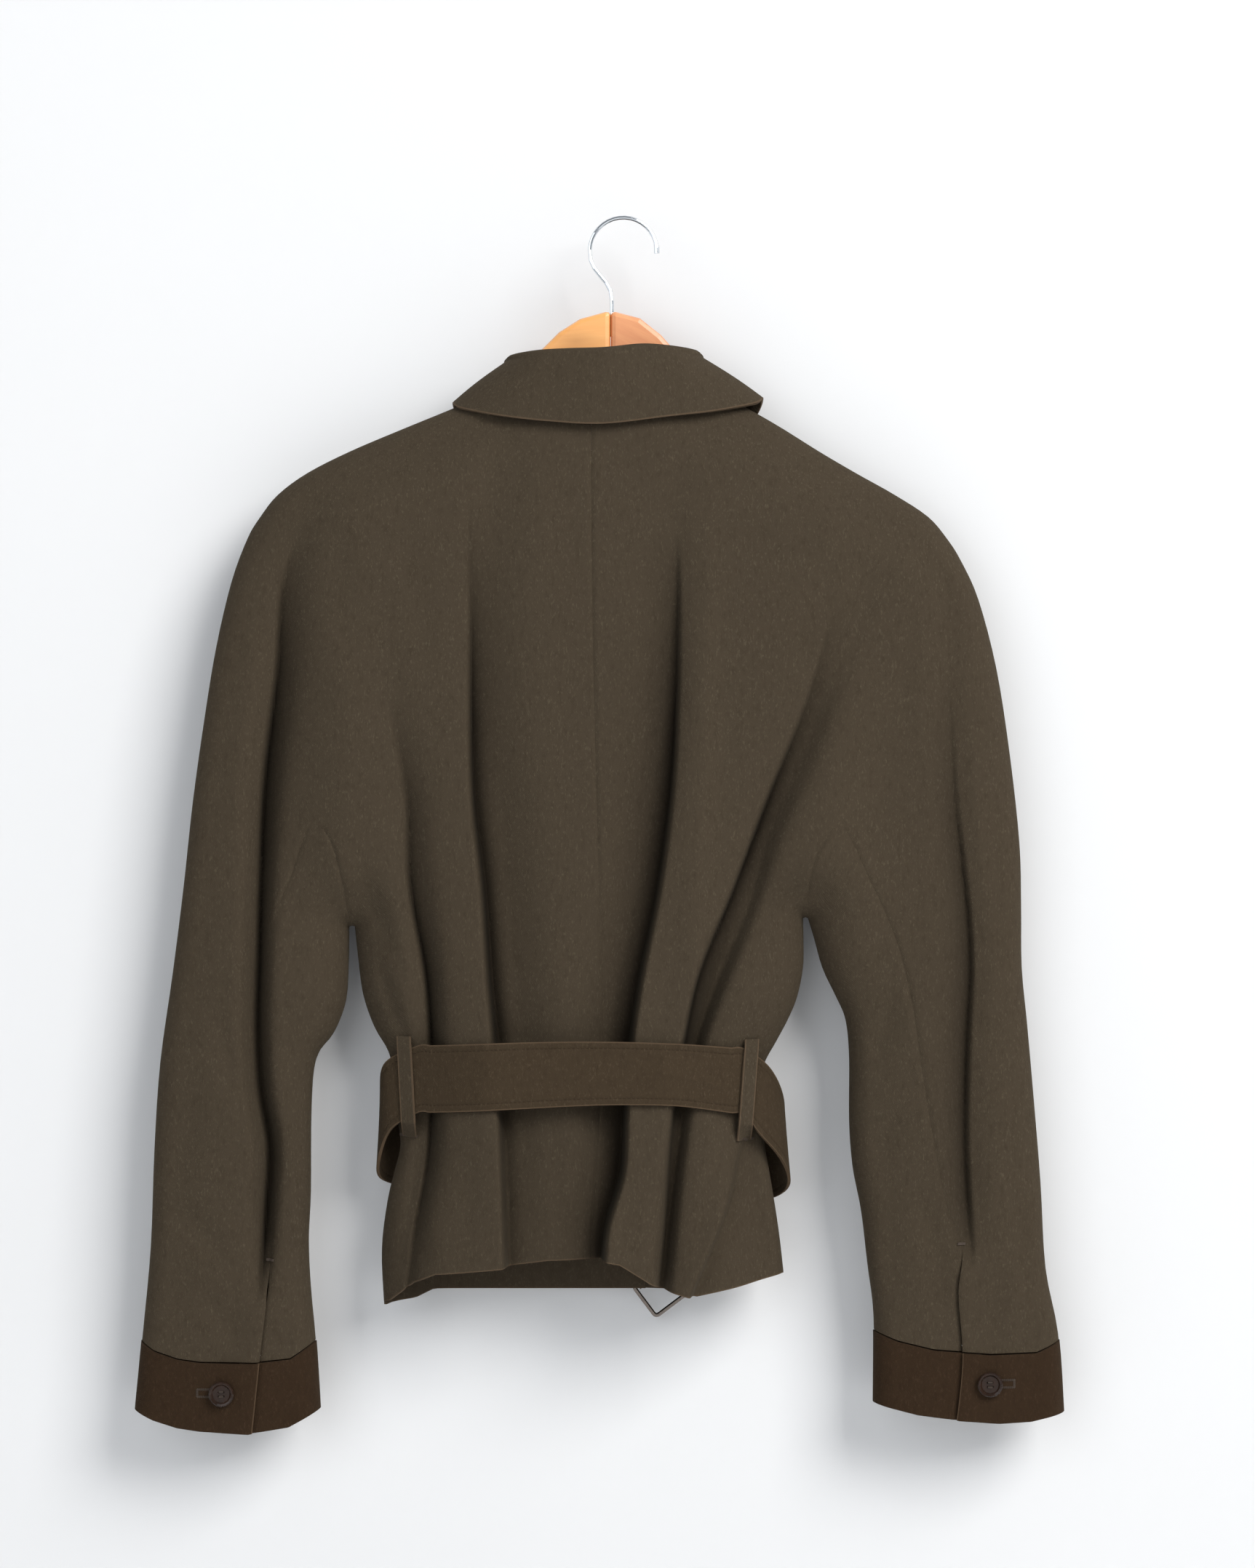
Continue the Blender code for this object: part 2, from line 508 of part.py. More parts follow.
def upper_grid(columns, side, face):
    """Rows from the neck and shoulder down to the underarm level, for each column."""
    grid_x, grid_z = [], []
    for column in columns:
        top = -180.0
        for _ in range(12):
            x = float(column(np.array(top)))
            top = top_height(x, side, face)
        reach = top - SHOULDER_ROWS[-1]
        heights = [top - drop for drop in SHOULDER_ROWS[:-1]]
        heights += list(np.linspace(reach, UNDERARM_TOP, UPPER_ROWS[face]))
        heights = np.array(heights)
        grid_x.append(column(heights))
        grid_z.append(heights)
    return np.array(grid_x).T, np.array(grid_z).T


def lower_heights(start, fork, ends, rows_below):
    """Heights from the underarm level to the fork and on to each column's own end."""
    upper = start + np.array(FORK_SHARES) * (fork - start)
    part = np.linspace(0, 1, rows_below + 1)[1:]
    lower = fork + part[:, None] * (np.asarray(ends)[None, :] - fork)
    return np.concatenate([np.repeat(upper[:, None], len(ends), axis=1), lower])


def along(points, x):
    """The height of a lower or upper edge at x."""
    return np.interp(x, [point.x for point in points], [point.z for point in points])


def sleeve_edge_columns(side, start, lines):
    """Columns from a sleeve's seam out to its outer edge, close together where the cloth turns."""
    inward = 1.0 if side == "left" else -1.0
    columns = [start]
    tracks = [(line.cells, lambda z, rows=line.rows: level(rows, z)) for line in lines]
    tracks.append((2, lambda z: outer_x(side, z) + inward * EDGE_STEPS[-1]))
    before = start
    for cells, after in tracks:
        for k in range(1, cells + 1):
            share = k / cells
            columns.append(lambda z, a=before, b=after, s=share: a(z) * (1 - s) + b(z) * s)
        before = after
    for step in reversed(EDGE_STEPS[:-1]):
        columns.append(lambda z, s=step: outer_x(side, z) + inward * s)
    return columns


def add_field(cloth, grid_x, grid_z, face, lift=0.0):
    """Add a grid of the cloth's surface to a piece, lifted off it by lift."""
    points, normals = cloth_surface(grid_x, grid_z, face)
    sign = -1.0 if face == "back" else 1.0
    flat = np.abs(points[..., 1]) < SEAM_GAP / 2
    points[..., 1] = np.where(flat, sign * SEAM_GAP / 2, points[..., 1])
    points = points + normals * np.asarray(lift)[..., None]
    cloth.patch(points, normals)


def slit_lift(side, x, z, amount):
    """How far a panel is raised beside the sleeve's slit, where its edges lap."""
    seam = level(SLEEVE_SEAM[side], z)
    near = smooth_step(*SLIT_FADE, np.abs(x - seam))
    open_share = smooth_step(SLIT_TOP[side], SLIT_TOP[side] - SLIT_OPENS, z)
    return amount * near * open_share


def body_panel(name, side, face, body_lines, side_cells, sleeve_lines):
    """A back or front half, cut in one with its half of the sleeve."""
    away = 1.0 if side == "left" else -1.0
    fork = FORK_Z[side]
    cloth = Cloth(name, WALL, WOOL)
    lift = LAP_LIFT if name == "front_right" else 0.0

    def arm(z):
        return level(ARM_LINE[side], z)

    def body_end(z):
        seam = level(BODY_SEAM[side], z)
        edge = edge_x(BODY_SIDE[side], np.minimum(z, fork))
        return np.where(z > fork + 0.01, seam, edge) + away * SEAM_GAP / 2

    def sleeve_start(z):
        return level(SLEEVE_SEAM[side], z) - away * SEAM_GAP / 2

    def lap(x):
        return lift * smooth_step(*LAP_FADE, np.abs(x - CENTRE))

    body = between_lines(body_lines, arm, side_cells)
    body_x, body_z = upper_grid(body, side, face)
    body_x[:, 0] -= away * SEAM_GAP / 2 if face == "back" else 0.0
    apex_width = float(sleeve_start(np.array(UNDERARM_TOP)) - arm(np.array(UNDERARM_TOP)))
    sleeve_top = sleeve_edge_columns(side, lambda z: arm(z) + apex_width, sleeve_lines)
    sleeve_x, sleeve_z = upper_grid(sleeve_top, side, face)
    bridge_x = np.stack([body_x[:, -1], sleeve_x[:, 0]], axis=1)
    bridge_z = np.stack([body_z[:, -1], sleeve_z[:, 0]], axis=1)
    add_field(cloth, body_x, body_z, face, lap(body_x))
    add_field(cloth, bridge_x, bridge_z, face)
    add_field(cloth, sleeve_x, sleeve_z, face)

    lower = between_lines(body_lines, body_end, side_cells)
    ends = [float(along(HEM[face], float(column(np.array(-770.0))))) for column in lower]
    heights = lower_heights(UNDERARM_TOP, fork, ends, BODY_ROWS[face])
    lower_x = np.stack([column(heights[:, j]) for j, column in enumerate(lower)], axis=1)
    lower_x[:, 0] -= away * SEAM_GAP / 2 if face == "back" else 0.0
    lower_x[0, :] = body_x[-1, :]
    add_field(cloth, lower_x, heights, face, lap(lower_x))

    sleeve = sleeve_edge_columns(side, sleeve_start, sleeve_lines)
    at_cuff = [float(column(np.array(-800.0))) for column in sleeve]
    ends = along(CUFF_TOP[side], at_cuff) + CUFF_GAP
    heights = lower_heights(UNDERARM_TOP, fork, ends, SLEEVE_ROWS)
    lower_x = np.stack([column(heights[:, j]) for j, column in enumerate(sleeve)], axis=1)
    lower_x[0, :] = sleeve_x[-1, :]
    raised = slit_lift(side, lower_x, heights, SLIT_LIFT) if face == "back" else 0.0 * lower_x
    add_field(cloth, lower_x, heights, face, raised)
    return cloth.make()


def underarm_panel(side):
    """The panel under the arm: two points up the back and front, and the sleeve's inner side."""
    away = 1.0 if side == "left" else -1.0
    fork = FORK_Z[side]
    cloth = Cloth("underarm_" + side, WALL, WOOL)
    shares = (0.0, 0.2, 0.4)
    last_steps = (10.0, 4.5, 1.2, 0.0)

    def inner(z):
        edge = edge_x(SLEEVE_INNER[side], np.minimum(z, fork))
        seam = level(BODY_SEAM[side], z)
        return np.where(z > fork + 0.01, seam, edge) - away * SEAM_GAP / 2

    def seam(z):
        return level(SLEEVE_SEAM[side], z) + away * SEAM_GAP / 2

    def half(heights):
        start, end = seam(heights), inner(heights)
        width = (end - start) * away
        columns = []
        reach = np.minimum(last_steps[0], width * 0.5)
        for share in shares:
            columns.append(start + away * (width - reach) * share / 0.6)
        for step in last_steps:
            columns.append(end - away * reach * step / last_steps[0])
        return np.stack(columns, axis=1)

    ends = along(CUFF_TOP[side], half(np.array([-800.0]))[0]) + CUFF_GAP
    count = len(ends)
    all_heights = lower_heights(UNDERARM_TOP - SEAM_GAP, fork, ends, SLEEVE_ROWS)
    top_rows = len(FORK_SHARES)
    for face in ("back", "front"):
        grid_x = np.stack([half(all_heights[:, j])[:, j] for j in range(count)], axis=1)
        raised = slit_lift(side, grid_x, all_heights, SLIT_SINK) if face == "back" else 0.0 * grid_x
        points, normals = cloth_surface(grid_x, all_heights, face)
        sign = -1.0 if face == "back" else 1.0
        points[:top_rows - 1, :, 1] = np.where(np.abs(points[:top_rows - 1, :, 1]) < SEAM_GAP / 2,
                                               sign * SEAM_GAP / 2, points[:top_rows - 1, :, 1])
        points = points + normals * raised[..., None]
        points[top_rows - 1:, -1, 1] = 0.0
        normals[top_rows - 1:, -1, 1] = 0.0
        cloth.patch(points, normals)
    return cloth.make()


def cuff_columns(side):
    """Lines down a cuff, all round the sleeve's end from its upper end to its lower one."""
    outward = -1.0 if side == "left" else 1.0

    def seam(z):
        return level(SLEEVE_SEAM[side], z)

    def outer(z):
        return outer_x(side, z)

    def inner(z):
        return edge_x(SLEEVE_INNER[side], z)

    def near_outer(step):
        return lambda z: outer(z) - outward * step

    def near_inner(step):
        return lambda z: inner(z) + outward * step

    def mixed(first, last, share):
        return lambda z: first(z) * (1 - share) + last(z) * share

    last = EDGE_STEPS[-1]
    ring = [(mixed(seam, near_outer(last), share), "back") for share in (0.0, 0.33, 0.67)]
    ring += [(near_outer(step), "back") for step in reversed(EDGE_STEPS)]
    ring += [(near_outer(step), "front") for step in EDGE_STEPS[1:]]
    ring += [(mixed(near_outer(last), near_inner(last), share), "front") for share in (0.33, 0.67)]
    ring += [(near_inner(step), "front") for step in reversed(EDGE_STEPS)]
    ring += [(near_inner(step), "back") for step in EDGE_STEPS[1:]]
    ring += [(mixed(near_inner(last), seam, share), "back") for share in (0.33, 0.67)]
    ring += [(lambda z: seam(z) + outward * CUFF_LAP * 0.2, "back")]
    ring += [(lambda z: seam(z) + outward * CUFF_LAP, "back")]
    return ring


def cuff_point(side, column, face, share, lift):
    """A point of the cuff's outside, a share of the way from its upper to its lower edge."""
    z = -830.0
    for _ in range(8):
        x = float(column(np.array(z)))
        top, bottom = float(along(CUFF_TOP[side], x)), float(along(CUFF_BOTTOM[side], x))
        z = top + (bottom - top) * share
    point, normal = cloth_surface(np.array([x]), np.array([z]), face)
    point, normal = point[0], normal[0]
    if abs(point[1]) < 0.7:
        point[1], normal[1] = 0.0, 0.0
    return point + normal * (CUFF_LIFT + lift), normal


def cuff(side):
    """A cuff: a band round the sleeve's end, its two ends lapped at the back."""
    cloth = Cloth("cuff_" + side, WALL, WOOL)
    columns = cuff_columns(side)
    lap_x = float(level(SLEEVE_SEAM[side], np.array(-830.0)))
    points, normals = [], []
    for share in np.linspace(0, 1, 5):
        row = []
        for number, (column, face) in enumerate(columns):
            reach = float(column(np.array(-830.0))) - lap_x
            lift = CUFF_LAP_LIFT * math.exp(-(reach / CUFF_LAP_FADE) ** 2) if number < 6 else 0.0
            row.append(cuff_point(side, column, face, share, lift))
        points.append([point for point, _ in row])
        normals.append([normal for _, normal in row])
    cloth.patch(points, normals)
    return cloth.make()


Station = namedtuple("Station", "base fold edge")

# The collar's left half, from its front end round to the middle of the back: the foot of its stand,
# the crest of its roll and the edge of its fall
COLLAR = [Station((-21, 22.5, -168), (-26, 25, -158), (-61, 32, -205)),
          Station((-42, 21, -156.5), (-45, 24.5, -145), (-80, 31, -190)),
          Station((-62, 17, -135.5), (-64, 23, -122), (-99, 27, -166)),
          Station((-76, 8, -117.5), (-77, 10, -102), (-117, 15, -142)),
          Station((-77, 1, -117), (-77, 1, -99), (-121, 2, -131)),
          Station((-74, -8, -117.5), (-72, -9, -98), (-115, -14, -136)),
          Station((-60, -17.5, -120), (-56, -21, -97), (-86, -28, -143)),
          Station((-38, -21.5, -121.2), (-37, -25.5, -96.5), (-52, -33, -147.5)),
          Station((-14, -22.5, -122), (-14, -27, -96), (-14, -35, -149.5))]
COLLAR_RIGHT_REACH = 6.0
COLLAR_RIGHT_RISE = 3.4
COLLAR_ROWS = 27


def collar():
    """The collar: one strip that stands at the neck, rolls over and falls outside."""
    cloth = Cloth("collar", COLLAR_WALL, WOOL)
    left = [np.array(station, float) for station in COLLAR]
    right = []
    for row in left[-2::-1]:
        mirrored = row * np.array([-1.0, 1.0, 1.0]) + np.array([2 * CENTRE, 0.0, 0.0])
        mirrored[2, 0] += COLLAR_RIGHT_REACH
        mirrored[:, 2] += COLLAR_RIGHT_RISE
        right.append(mirrored)
    stations = np.array(left + right)
    places = np.linspace(0, len(stations) - 1, COLLAR_ROWS)
    points, normals = [], []
    for place in places:
        base, fold, edge = [np.array([level([Row(i, station[k][axis]) for i, station in enumerate(stations)],
                                            np.array(place)) for axis in range(3)]) for k in range(3)]
        row, lean = collar_section(base.astype(float), fold.astype(float), edge.astype(float))
        points.append(row)
        normals.append(lean)
    cloth.patch(points, normals)
    return cloth.make()


def collar_section(base, fold, edge):
    """The collar's outside from the foot of its stand over the roll to its edge."""
    up = np.array([0.0, 0.0, 1.0])
    out = edge - base
    out[2] = 0.0
    out /= np.linalg.norm(out)
    stand_top = fold - up * COLLAR_ROLL
    centre = stand_top + out * COLLAR_ROLL
    middle = [base, (base + stand_top) / 2]
    for turn in np.linspace(0, math.pi, 5):
        middle.append(centre - out * COLLAR_ROLL * math.cos(turn) + up * COLLAR_ROLL * math.sin(turn))
    start = middle[-1]
    middle += [start + (edge - start) * share for share in (0.5, 1.0)]
    middle = np.array(middle)
    runs = np.gradient(middle, axis=0)
    flat = np.stack([runs @ out, runs @ up], axis=1)
    flat /= np.linalg.norm(flat, axis=1, keepdims=True)
    normals = -flat[:, 1:] * out + flat[:, :1] * up
    return middle + normals * COLLAR_WALL / 2, normals


def hull_above(xs, heights):
    """The taut line over a run of heights, read back at the same places."""
    kept = []
    for x, height in zip(xs, heights):
        while len(kept) > 1:
            (x0, h0), (x1, h1) = kept[-2:]
            if (h1 - h0) * (x - x0) > (height - h0) * (x1 - x0):
                break
            kept.pop()
        kept.append((x, height))
    return np.interp(xs, [point[0] for point in kept], [point[1] for point in kept])


BELT_SPAN = np.arange(-152.0, 93.0, 4.0)
BELT_BACK_ENDS = (-146.0, 86.0)
BELT_BAND = (-585.0, -597.0, -610.0, -624.0, -638.0)


def belt_out(x):
    """How far out the belt's outer side lies across the back, drawn taut over the folds."""
    highest = np.max([cloth_height(BELT_SPAN, np.full_like(BELT_SPAN, z), "back") for z in BELT_BAND], axis=0)
    return np.interp(x, BELT_SPAN, hull_above(BELT_SPAN, highest)) + BELT_GAP + BELT_WALL


Edge = namedtuple("Edge", "x y z")
Strap = namedtuple("Strap", "top bottom")

# The belt's upper and lower edge across the back, then round each side and down the front
BELT_BACK_TOP = [Row(-148, -589.5), Row(-83, -586), Row(-25, -585), Row(36, -586.6), Row(88, -591.5)]
BELT_BACK_BOTTOM = [Row(-148, -637.2), Row(-83, -633), Row(3, -629.5), Row(30, -630), Row(88, -638.5)]
BELT_LEFT = [Strap(Edge(-169.5, -15, -602), Edge(-166, -19, -650)),
             Strap(Edge(-174, -2, -622), Edge(-175, -7, -670)),
             Strap(Edge(-171, 14, -638), Edge(-176, 10, -686)),
             Strap(Edge(-155, 25, -646), Edge(-163, 24, -694)),
             Strap(Edge(-134, 30.5, -650), Edge(-145, 30.5, -699))]
BELT_RIGHT = [Strap(Edge(103, -19, -604), Edge(97, -25, -652)),
              Strap(Edge(113, -7, -622), Edge(113, -11, -671)),
              Strap(Edge(115, 8, -640), Edge(120, 4, -688)),
              Strap(Edge(104, 24, -652), Edge(114, 22, -700)),
              Strap(Edge(84, 35, -660), Edge(94, 34, -708)),
              Strap(Edge(40, 40.5, -672), Edge(48, 40.5, -719)),
              Strap(Edge(-20, 41.5, -690), Edge(-12, 41.5, -737)),
              Strap(Edge(-70, 41.5, -706), Edge(-61, 41.5, -753)),
              Strap(Edge(-104, 41.5, -717), Edge(-95, 41.5, -764)),
              Strap(Edge(-122, 41.5, -728), Edge(-117, 41.5, -765)),
              Strap(Edge(-129, 41.5, -742), Edge(-128, 41.5, -757))]
BAR_MIDDLE = np.array([29.0, 33.0, -752.0])
BAR_ALONG = np.array([0.8, 0.0, 0.6])
BUCKLE_DOWN = np.array([0.6, 0.0, -0.8])
TOWARD_WALL = np.array([0.0, 1.0, 0.0])
BELT_WIDTH = 48.0
BAR_CLEAR = 0.5
PRONG_SLOT = 4.6
FOLD_BACK = ((17.0, -1.0), (7.0, -4.5))


def belt_stations():
    """Upper and lower edges of the belt's outer side, from its fold at the buckle to its free end."""
    half = BAR_ALONG * BELT_WIDTH / 2
    radius = FRAME_WIRE + BAR_CLEAR + BELT_WALL
    stations = []
    for back, depth in FOLD_BACK:
        middle = BAR_MIDDLE - BUCKLE_DOWN * back + TOWARD_WALL * depth
        stations.append((middle + half, middle - half))
    for turn in np.linspace(-90, 90, 7):
        angle = math.radians(turn)
        middle = BAR_MIDDLE + (BUCKLE_DOWN * math.cos(angle) + TOWARD_WALL * math.sin(angle)) * radius
        stations.append((middle + half, middle - half))
    for back, sink in ((7.0, 0.0), (22.0, 1.0), (60.0, 4.0)):
        middle = BAR_MIDDLE - BUCKLE_DOWN * back + TOWARD_WALL * (radius - sink)
        stations.append((middle + half, middle - half))
    return stations


def belt():
    """The belt as one long strap, folded round the buckle's bar at one end."""
    cloth = Cloth("belt", BELT_WALL, WOOL)
    fold = belt_stations()
    stations = [(np.array(top), np.array(bottom)) for top, bottom in fold]
    stations += [(np.array(strap.top, float), np.array(strap.bottom, float)) for strap in BELT_LEFT[::-1]]
    for x in np.linspace(*BELT_BACK_ENDS, 13):
        out = -float(belt_out(x))
        stations.append((np.array([x, out, float(level(BELT_BACK_TOP, x))]),
                         np.array([x, out, float(level(BELT_BACK_BOTTOM, x))])))
    stations += [(np.array(strap.top, float), np.array(strap.bottom, float)) for strap in BELT_RIGHT]
    shares = (0.0, 0.5 - PRONG_SLOT / BELT_WIDTH, 0.5 + PRONG_SLOT / BELT_WIDTH, 1.0)
    points = np.array([[top + (bottom - top) * share for share in shares] for top, bottom in stations])
    down = np.gradient(points, axis=0)
    across = points[:, -1:] - points[:, :1]
    normals = np.cross(np.broadcast_to(across, points.shape), down)
    normals /= np.linalg.norm(normals, axis=2, keepdims=True)
    slot = {(row, 1) for row in range(1, len(fold) - 2)}
    cloth.patch(points, normals, slot)
    return cloth.make()


Loop = namedtuple("Loop", "side top_x top_z bottom_x bottom_z")
LOOPS = [Loop("left", -156, -583, -152, -655), Loop("right", 91.5, -585, 86, -657)]


def belt_side(x):
    """How far out the belt lies at x, also where it turns round the body's sides."""
    first, last = BELT_LEFT[0], BELT_RIGHT[0]
    places = [(first.top.x + first.bottom.x) / 2, *BELT_BACK_ENDS, (last.top.x + last.bottom.x) / 2]
    outs = [-(first.top.y + first.bottom.y) / 2, *(float(belt_out(end)) for end in BELT_BACK_ENDS),
            -(last.top.y + last.bottom.y) / 2]
    return float(np.interp(x, places, outs)) if not BELT_BACK_ENDS[0] < x < BELT_BACK_ENDS[1] else float(belt_out(x))


def belt_loop(loop):
    """A narrow loop of cloth that stands over the belt and lies on the back above and below it."""
    cloth = Cloth("belt_loop_" + loop.side, LOOP_WALL, WOOL)
    middle_x = (loop.top_x + loop.bottom_x) / 2
    slack = LOOP_CLEAR + LOOP_WALL
    belt_top = float(level(BELT_BACK_TOP, middle_x))
    strap = BELT_LEFT[0] if loop.side == "left" else BELT_RIGHT[0]
    belt_end = BELT_BACK_ENDS[0] if loop.side == "left" else BELT_BACK_ENDS[1]
    turned = (middle_x - belt_end) / (strap.bottom.x - belt_end)
    straight = float(level(BELT_BACK_BOTTOM, belt_end))
    belt_bottom = straight + (strap.bottom.z - straight) * turned
    profile = [(loop.top_z, 0.0), (loop.top_z - 1.5, 0.3), (belt_top + 3.0, 1.0), (belt_bottom - 3.0, 1.0),
               (loop.bottom_z + 1.5, 0.3), (loop.bottom_z, 0.0)]
    points = []
    for z, share in profile:
        along_loop = (loop.top_z - z) / (loop.top_z - loop.bottom_z)
        x = loop.top_x + (loop.bottom_x - loop.top_x) * along_loop
        row = []
        for shift in (-LOOP_WIDTH / 2, LOOP_WIDTH / 2):
            lying = float(cloth_height(np.array([x + shift]), np.array([z]), "back")[0])
            lying = lying + LOOP_SEAT + LOOP_WALL
            over = max(belt_side(x + shift) + slack, lying)
            row.append([x + shift, -(lying + (over - lying) * share), z])
        points.append(row)
    points = np.array(points)
    down = np.gradient(points, axis=0)
    across = points[:, 1:] - points[:, :1]
    normals = np.cross(down, np.broadcast_to(across, points.shape))
    normals /= np.linalg.norm(normals, axis=2, keepdims=True)
    normals *= np.where(normals[..., 1:2] > 0, -1.0, 1.0)
    cloth.patch(points, normals)
    return cloth.make()


def tube(name, path, radius, look, closed=False, sides=8):
    """A round wire along a path, with capped ends or closed on itself."""
    work = bmesh.new()
    path = np.array(path, float)
    runs = np.roll(path, -1, 0) - np.roll(path, 1, 0) if closed else np.gradient(path, axis=0)
    runs /= np.linalg.norm(runs, axis=1, keepdims=True)
    upright = np.array([0.0, 1.0, 0.0])
    radii = np.broadcast_to(np.asarray(radius, float), len(path))
    rings = []
    for place, run, size in zip(path, runs, radii):
        across = np.cross(run, upright)
        across /= np.linalg.norm(across)
        lift = np.cross(across, run)
        ring = []
        for k in range(sides):
            turn = 2 * math.pi * (k + 0.5) / sides
            spot = place + (across * math.cos(turn) + lift * math.sin(turn)) * size
            ring.append(work.verts.new(Vector(spot) * MM))
        rings.append(ring)
    count = len(rings)
    for i in range(count if closed else count - 1):
        first, second = rings[i], rings[(i + 1) % count]
        for k in range(sides):
            work.faces.new([first[k], first[(k + 1) % sides], second[(k + 1) % sides], second[k]])
    if not closed:
        work.faces.new(rings[0])
        work.faces.new(rings[-1])
    return finish(work, name, look)


def arc(centre, radius, first, last, count):
    """Points of an arc in the hanger's plane, with angles in degrees from +X."""
    turns = np.radians(np.linspace(first, last, count))
    return [(centre[0] + radius * math.cos(turn), 0.0, centre[1] + radius * math.sin(turn)) for turn in turns]


HOOK_CENTRE = (0.0, HOOK_WIRE - HOOK_RADIUS)


def hanger_hook():
    """The wire hook: its tip on the right, round over the top and down into the wood."""
    path = arc(HOOK_CENTRE, HOOK_RADIUS, -4, 178, 19)
    path += [(-23.2, 0, -29.5), (-20.6, 0, -35), (-16.6, 0, -40), (-12.4, 0, -45), (-9.2, 0, -51),
             (-8.2, 0, -58), (STEM_X, 0, -66), (STEM_X, 0, -84)]
    radii = [HOOK_WIRE + 0.5, HOOK_WIRE + 0.5] + [HOOK_WIRE] * (len(path) - 2)
    return tube("hanger_hook", path, radii, STEEL, sides=10)


Half = namedtuple("Half", "name look joint head reach deep")
HANGER_HEAD = [Point(-80, -125.5), Point(-72, -117), Point(-66, -105), Point(-58, -93), Point(-46, -81),
               Point(-31, -71.5), Point(-9.1, -65.5), Point(12, -71), Point(27, -83), Point(38, -95.5),
               Point(43, -110), Point(51, -121.5)]
HALVES = [Half("hanger_left", PALE_WOOD, -SEAM_GAP / 2, HANGER_HEAD[:7], -222, 26),
          Half("hanger_right", RED_WOOD, SEAM_GAP / 2, HANGER_HEAD[6:], 200, 26)]
HANGER_END_DEEP = 14.0
HANGER_BEVEL = 3.5


def hanger_half(half):
    """One wooden half: the head's rise, the arm under the shoulder and the underside."""
    side = "left" if half.reach < 0 else "right"
    joint = HANGER_JOINT + half.joint
    head = [point for point in half.head if point.x != HANGER_JOINT]
    head.sort(key=lambda point: abs(point.x - HANGER_JOINT))
    start = head[-1].x
    steps = np.linspace(start, half.reach, 8)[1:]
    upper = [(joint, -65.5)] + [(point.x, point.z) for point in head]
    upper += [(float(x), top_height(float(x), side, "back") - HANGER_REACH) for x in steps]
    lower = []
    for x, z in upper[::-1]:
        share = abs(x - joint) / abs(half.reach - joint)
        deep = half.deep + (HANGER_END_DEEP - half.deep) * share
        lower.append((x, z - deep))
    lower[-1] = (joint, -65.5 - half.deep - 12)
    for k, (x, z) in enumerate(lower[:-1]):
        flat = -65.5 - half.deep - 12 - 0.42 * max(0.0, abs(x - joint) - 10)
        lower[k] = (x, min(z, flat) if abs(x - joint) < 60 else z)
    ring = upper + lower
    work = bmesh.new()
    front = [work.verts.new(Vector((x, HANGER_DEPTH / 2, z)) * MM) for x, z in ring]
    face = work.faces.new(front)
    grown = bmesh.ops.extrude_face_region(work, geom=[face])
    moved = [item for item in grown["geom"] if isinstance(item, bmesh.types.BMVert)]
    bmesh.ops.translate(work, verts=moved, vec=(0, -HANGER_DEPTH * MM, 0))
    piece = finish(work, half.name, half.look, smooth=False)
    bevel = piece.modifiers.new("rounded edges", "BEVEL")
    bevel.width = HANGER_BEVEL * MM
    bevel.segments = 2
    bevel.limit_method = "ANGLE"
    bevel.angle_limit = math.radians(60)
    return piece


def drill_stem(pieces):
    """The hole that takes the hook's stem, cut in both halves."""
    bpy.ops.mesh.primitive_cylinder_add(vertices=16, radius=(HOOK_WIRE + SEAM_GAP) * MM, depth=40 * MM,
                                        location=(STEM_X * MM, 0, -66 * MM))
    drill = bpy.context.object
    drill.name = "stem_drill"
    drill.hide_render = True
    drill.display_type = "WIRE"
    for piece in pieces:
        cut = piece.modifiers.new("stem hole", "BOOLEAN")
        cut.operation = "DIFFERENCE"
        cut.solver = "EXACT"
        cut.object = drill


def rounded_frame():
    """The buckle's wire path: a rectangle with round corners, its inner bar at the top."""
    path = []
    for across, down, first in ((1, 0, 90), (-1, 0, 180), (-1, 1, 270), (1, 1, 360)):
        inset = FRAME_CORNER if down == 0 else FRAME_LENGTH - FRAME_CORNER
        middle = np.array([across * (FRAME_WIDTH / 2 - FRAME_CORNER), inset])
        for turn in np.radians(np.linspace(first - 90, first, 5)):
            path.append(middle + FRAME_CORNER * np.array([math.cos(turn), -math.sin(turn)]))
    return [BAR_MIDDLE + BAR_ALONG * a + BUCKLE_DOWN * d for a, d in path]


def buckle():
    """The frame on the belt's fold, and the prong that lies on the frame's far bar."""
    tube("buckle_frame", rounded_frame(), FRAME_WIRE, NICKEL, closed=True)
    ring_radius = FRAME_WIRE + PRONG_CLEAR + PRONG_WIRE
    turns = np.radians(np.linspace(PRONG_RING[0], PRONG_RING[1], 9))
    path = [BAR_MIDDLE + (BUCKLE_DOWN * math.cos(turn) + TOWARD_WALL * math.sin(turn)) * ring_radius
            for turn in turns]
    path += [BAR_MIDDLE + BUCKLE_DOWN * reach + TOWARD_WALL * ring_radius for reach in (3.0, FRAME_LENGTH + 3.5)]
    along_bar = Vector(BAR_ALONG)
    work = bmesh.new()
    path = np.array(path)
    runs = np.gradient(path, axis=0)
    rings = []
    for place, run in zip(path, runs):
        run = Vector(run).normalized()
        lift = along_bar.cross(run).normalized()
        rings.append([work.verts.new((Vector(place) + (along_bar * a + lift * b) * PRONG_WIRE) * MM)
                      for a, b in [(math.cos(t), math.sin(t)) for t in np.radians(np.arange(22.5, 360, 45))]])
    for first, second in zip(rings, rings[1:]):
        for k in range(8):
            work.faces.new([first[k], first[(k + 1) % 8], second[(k + 1) % 8], second[k]])
    work.faces.new(rings[0])
    work.faces.new(rings[-1])
    finish(work, "buckle_prong", NICKEL)


Button = namedtuple("Button", "side x z")
BUTTONS = [Button("left", -285, -836.7), Button("right", 260.4, -830)]


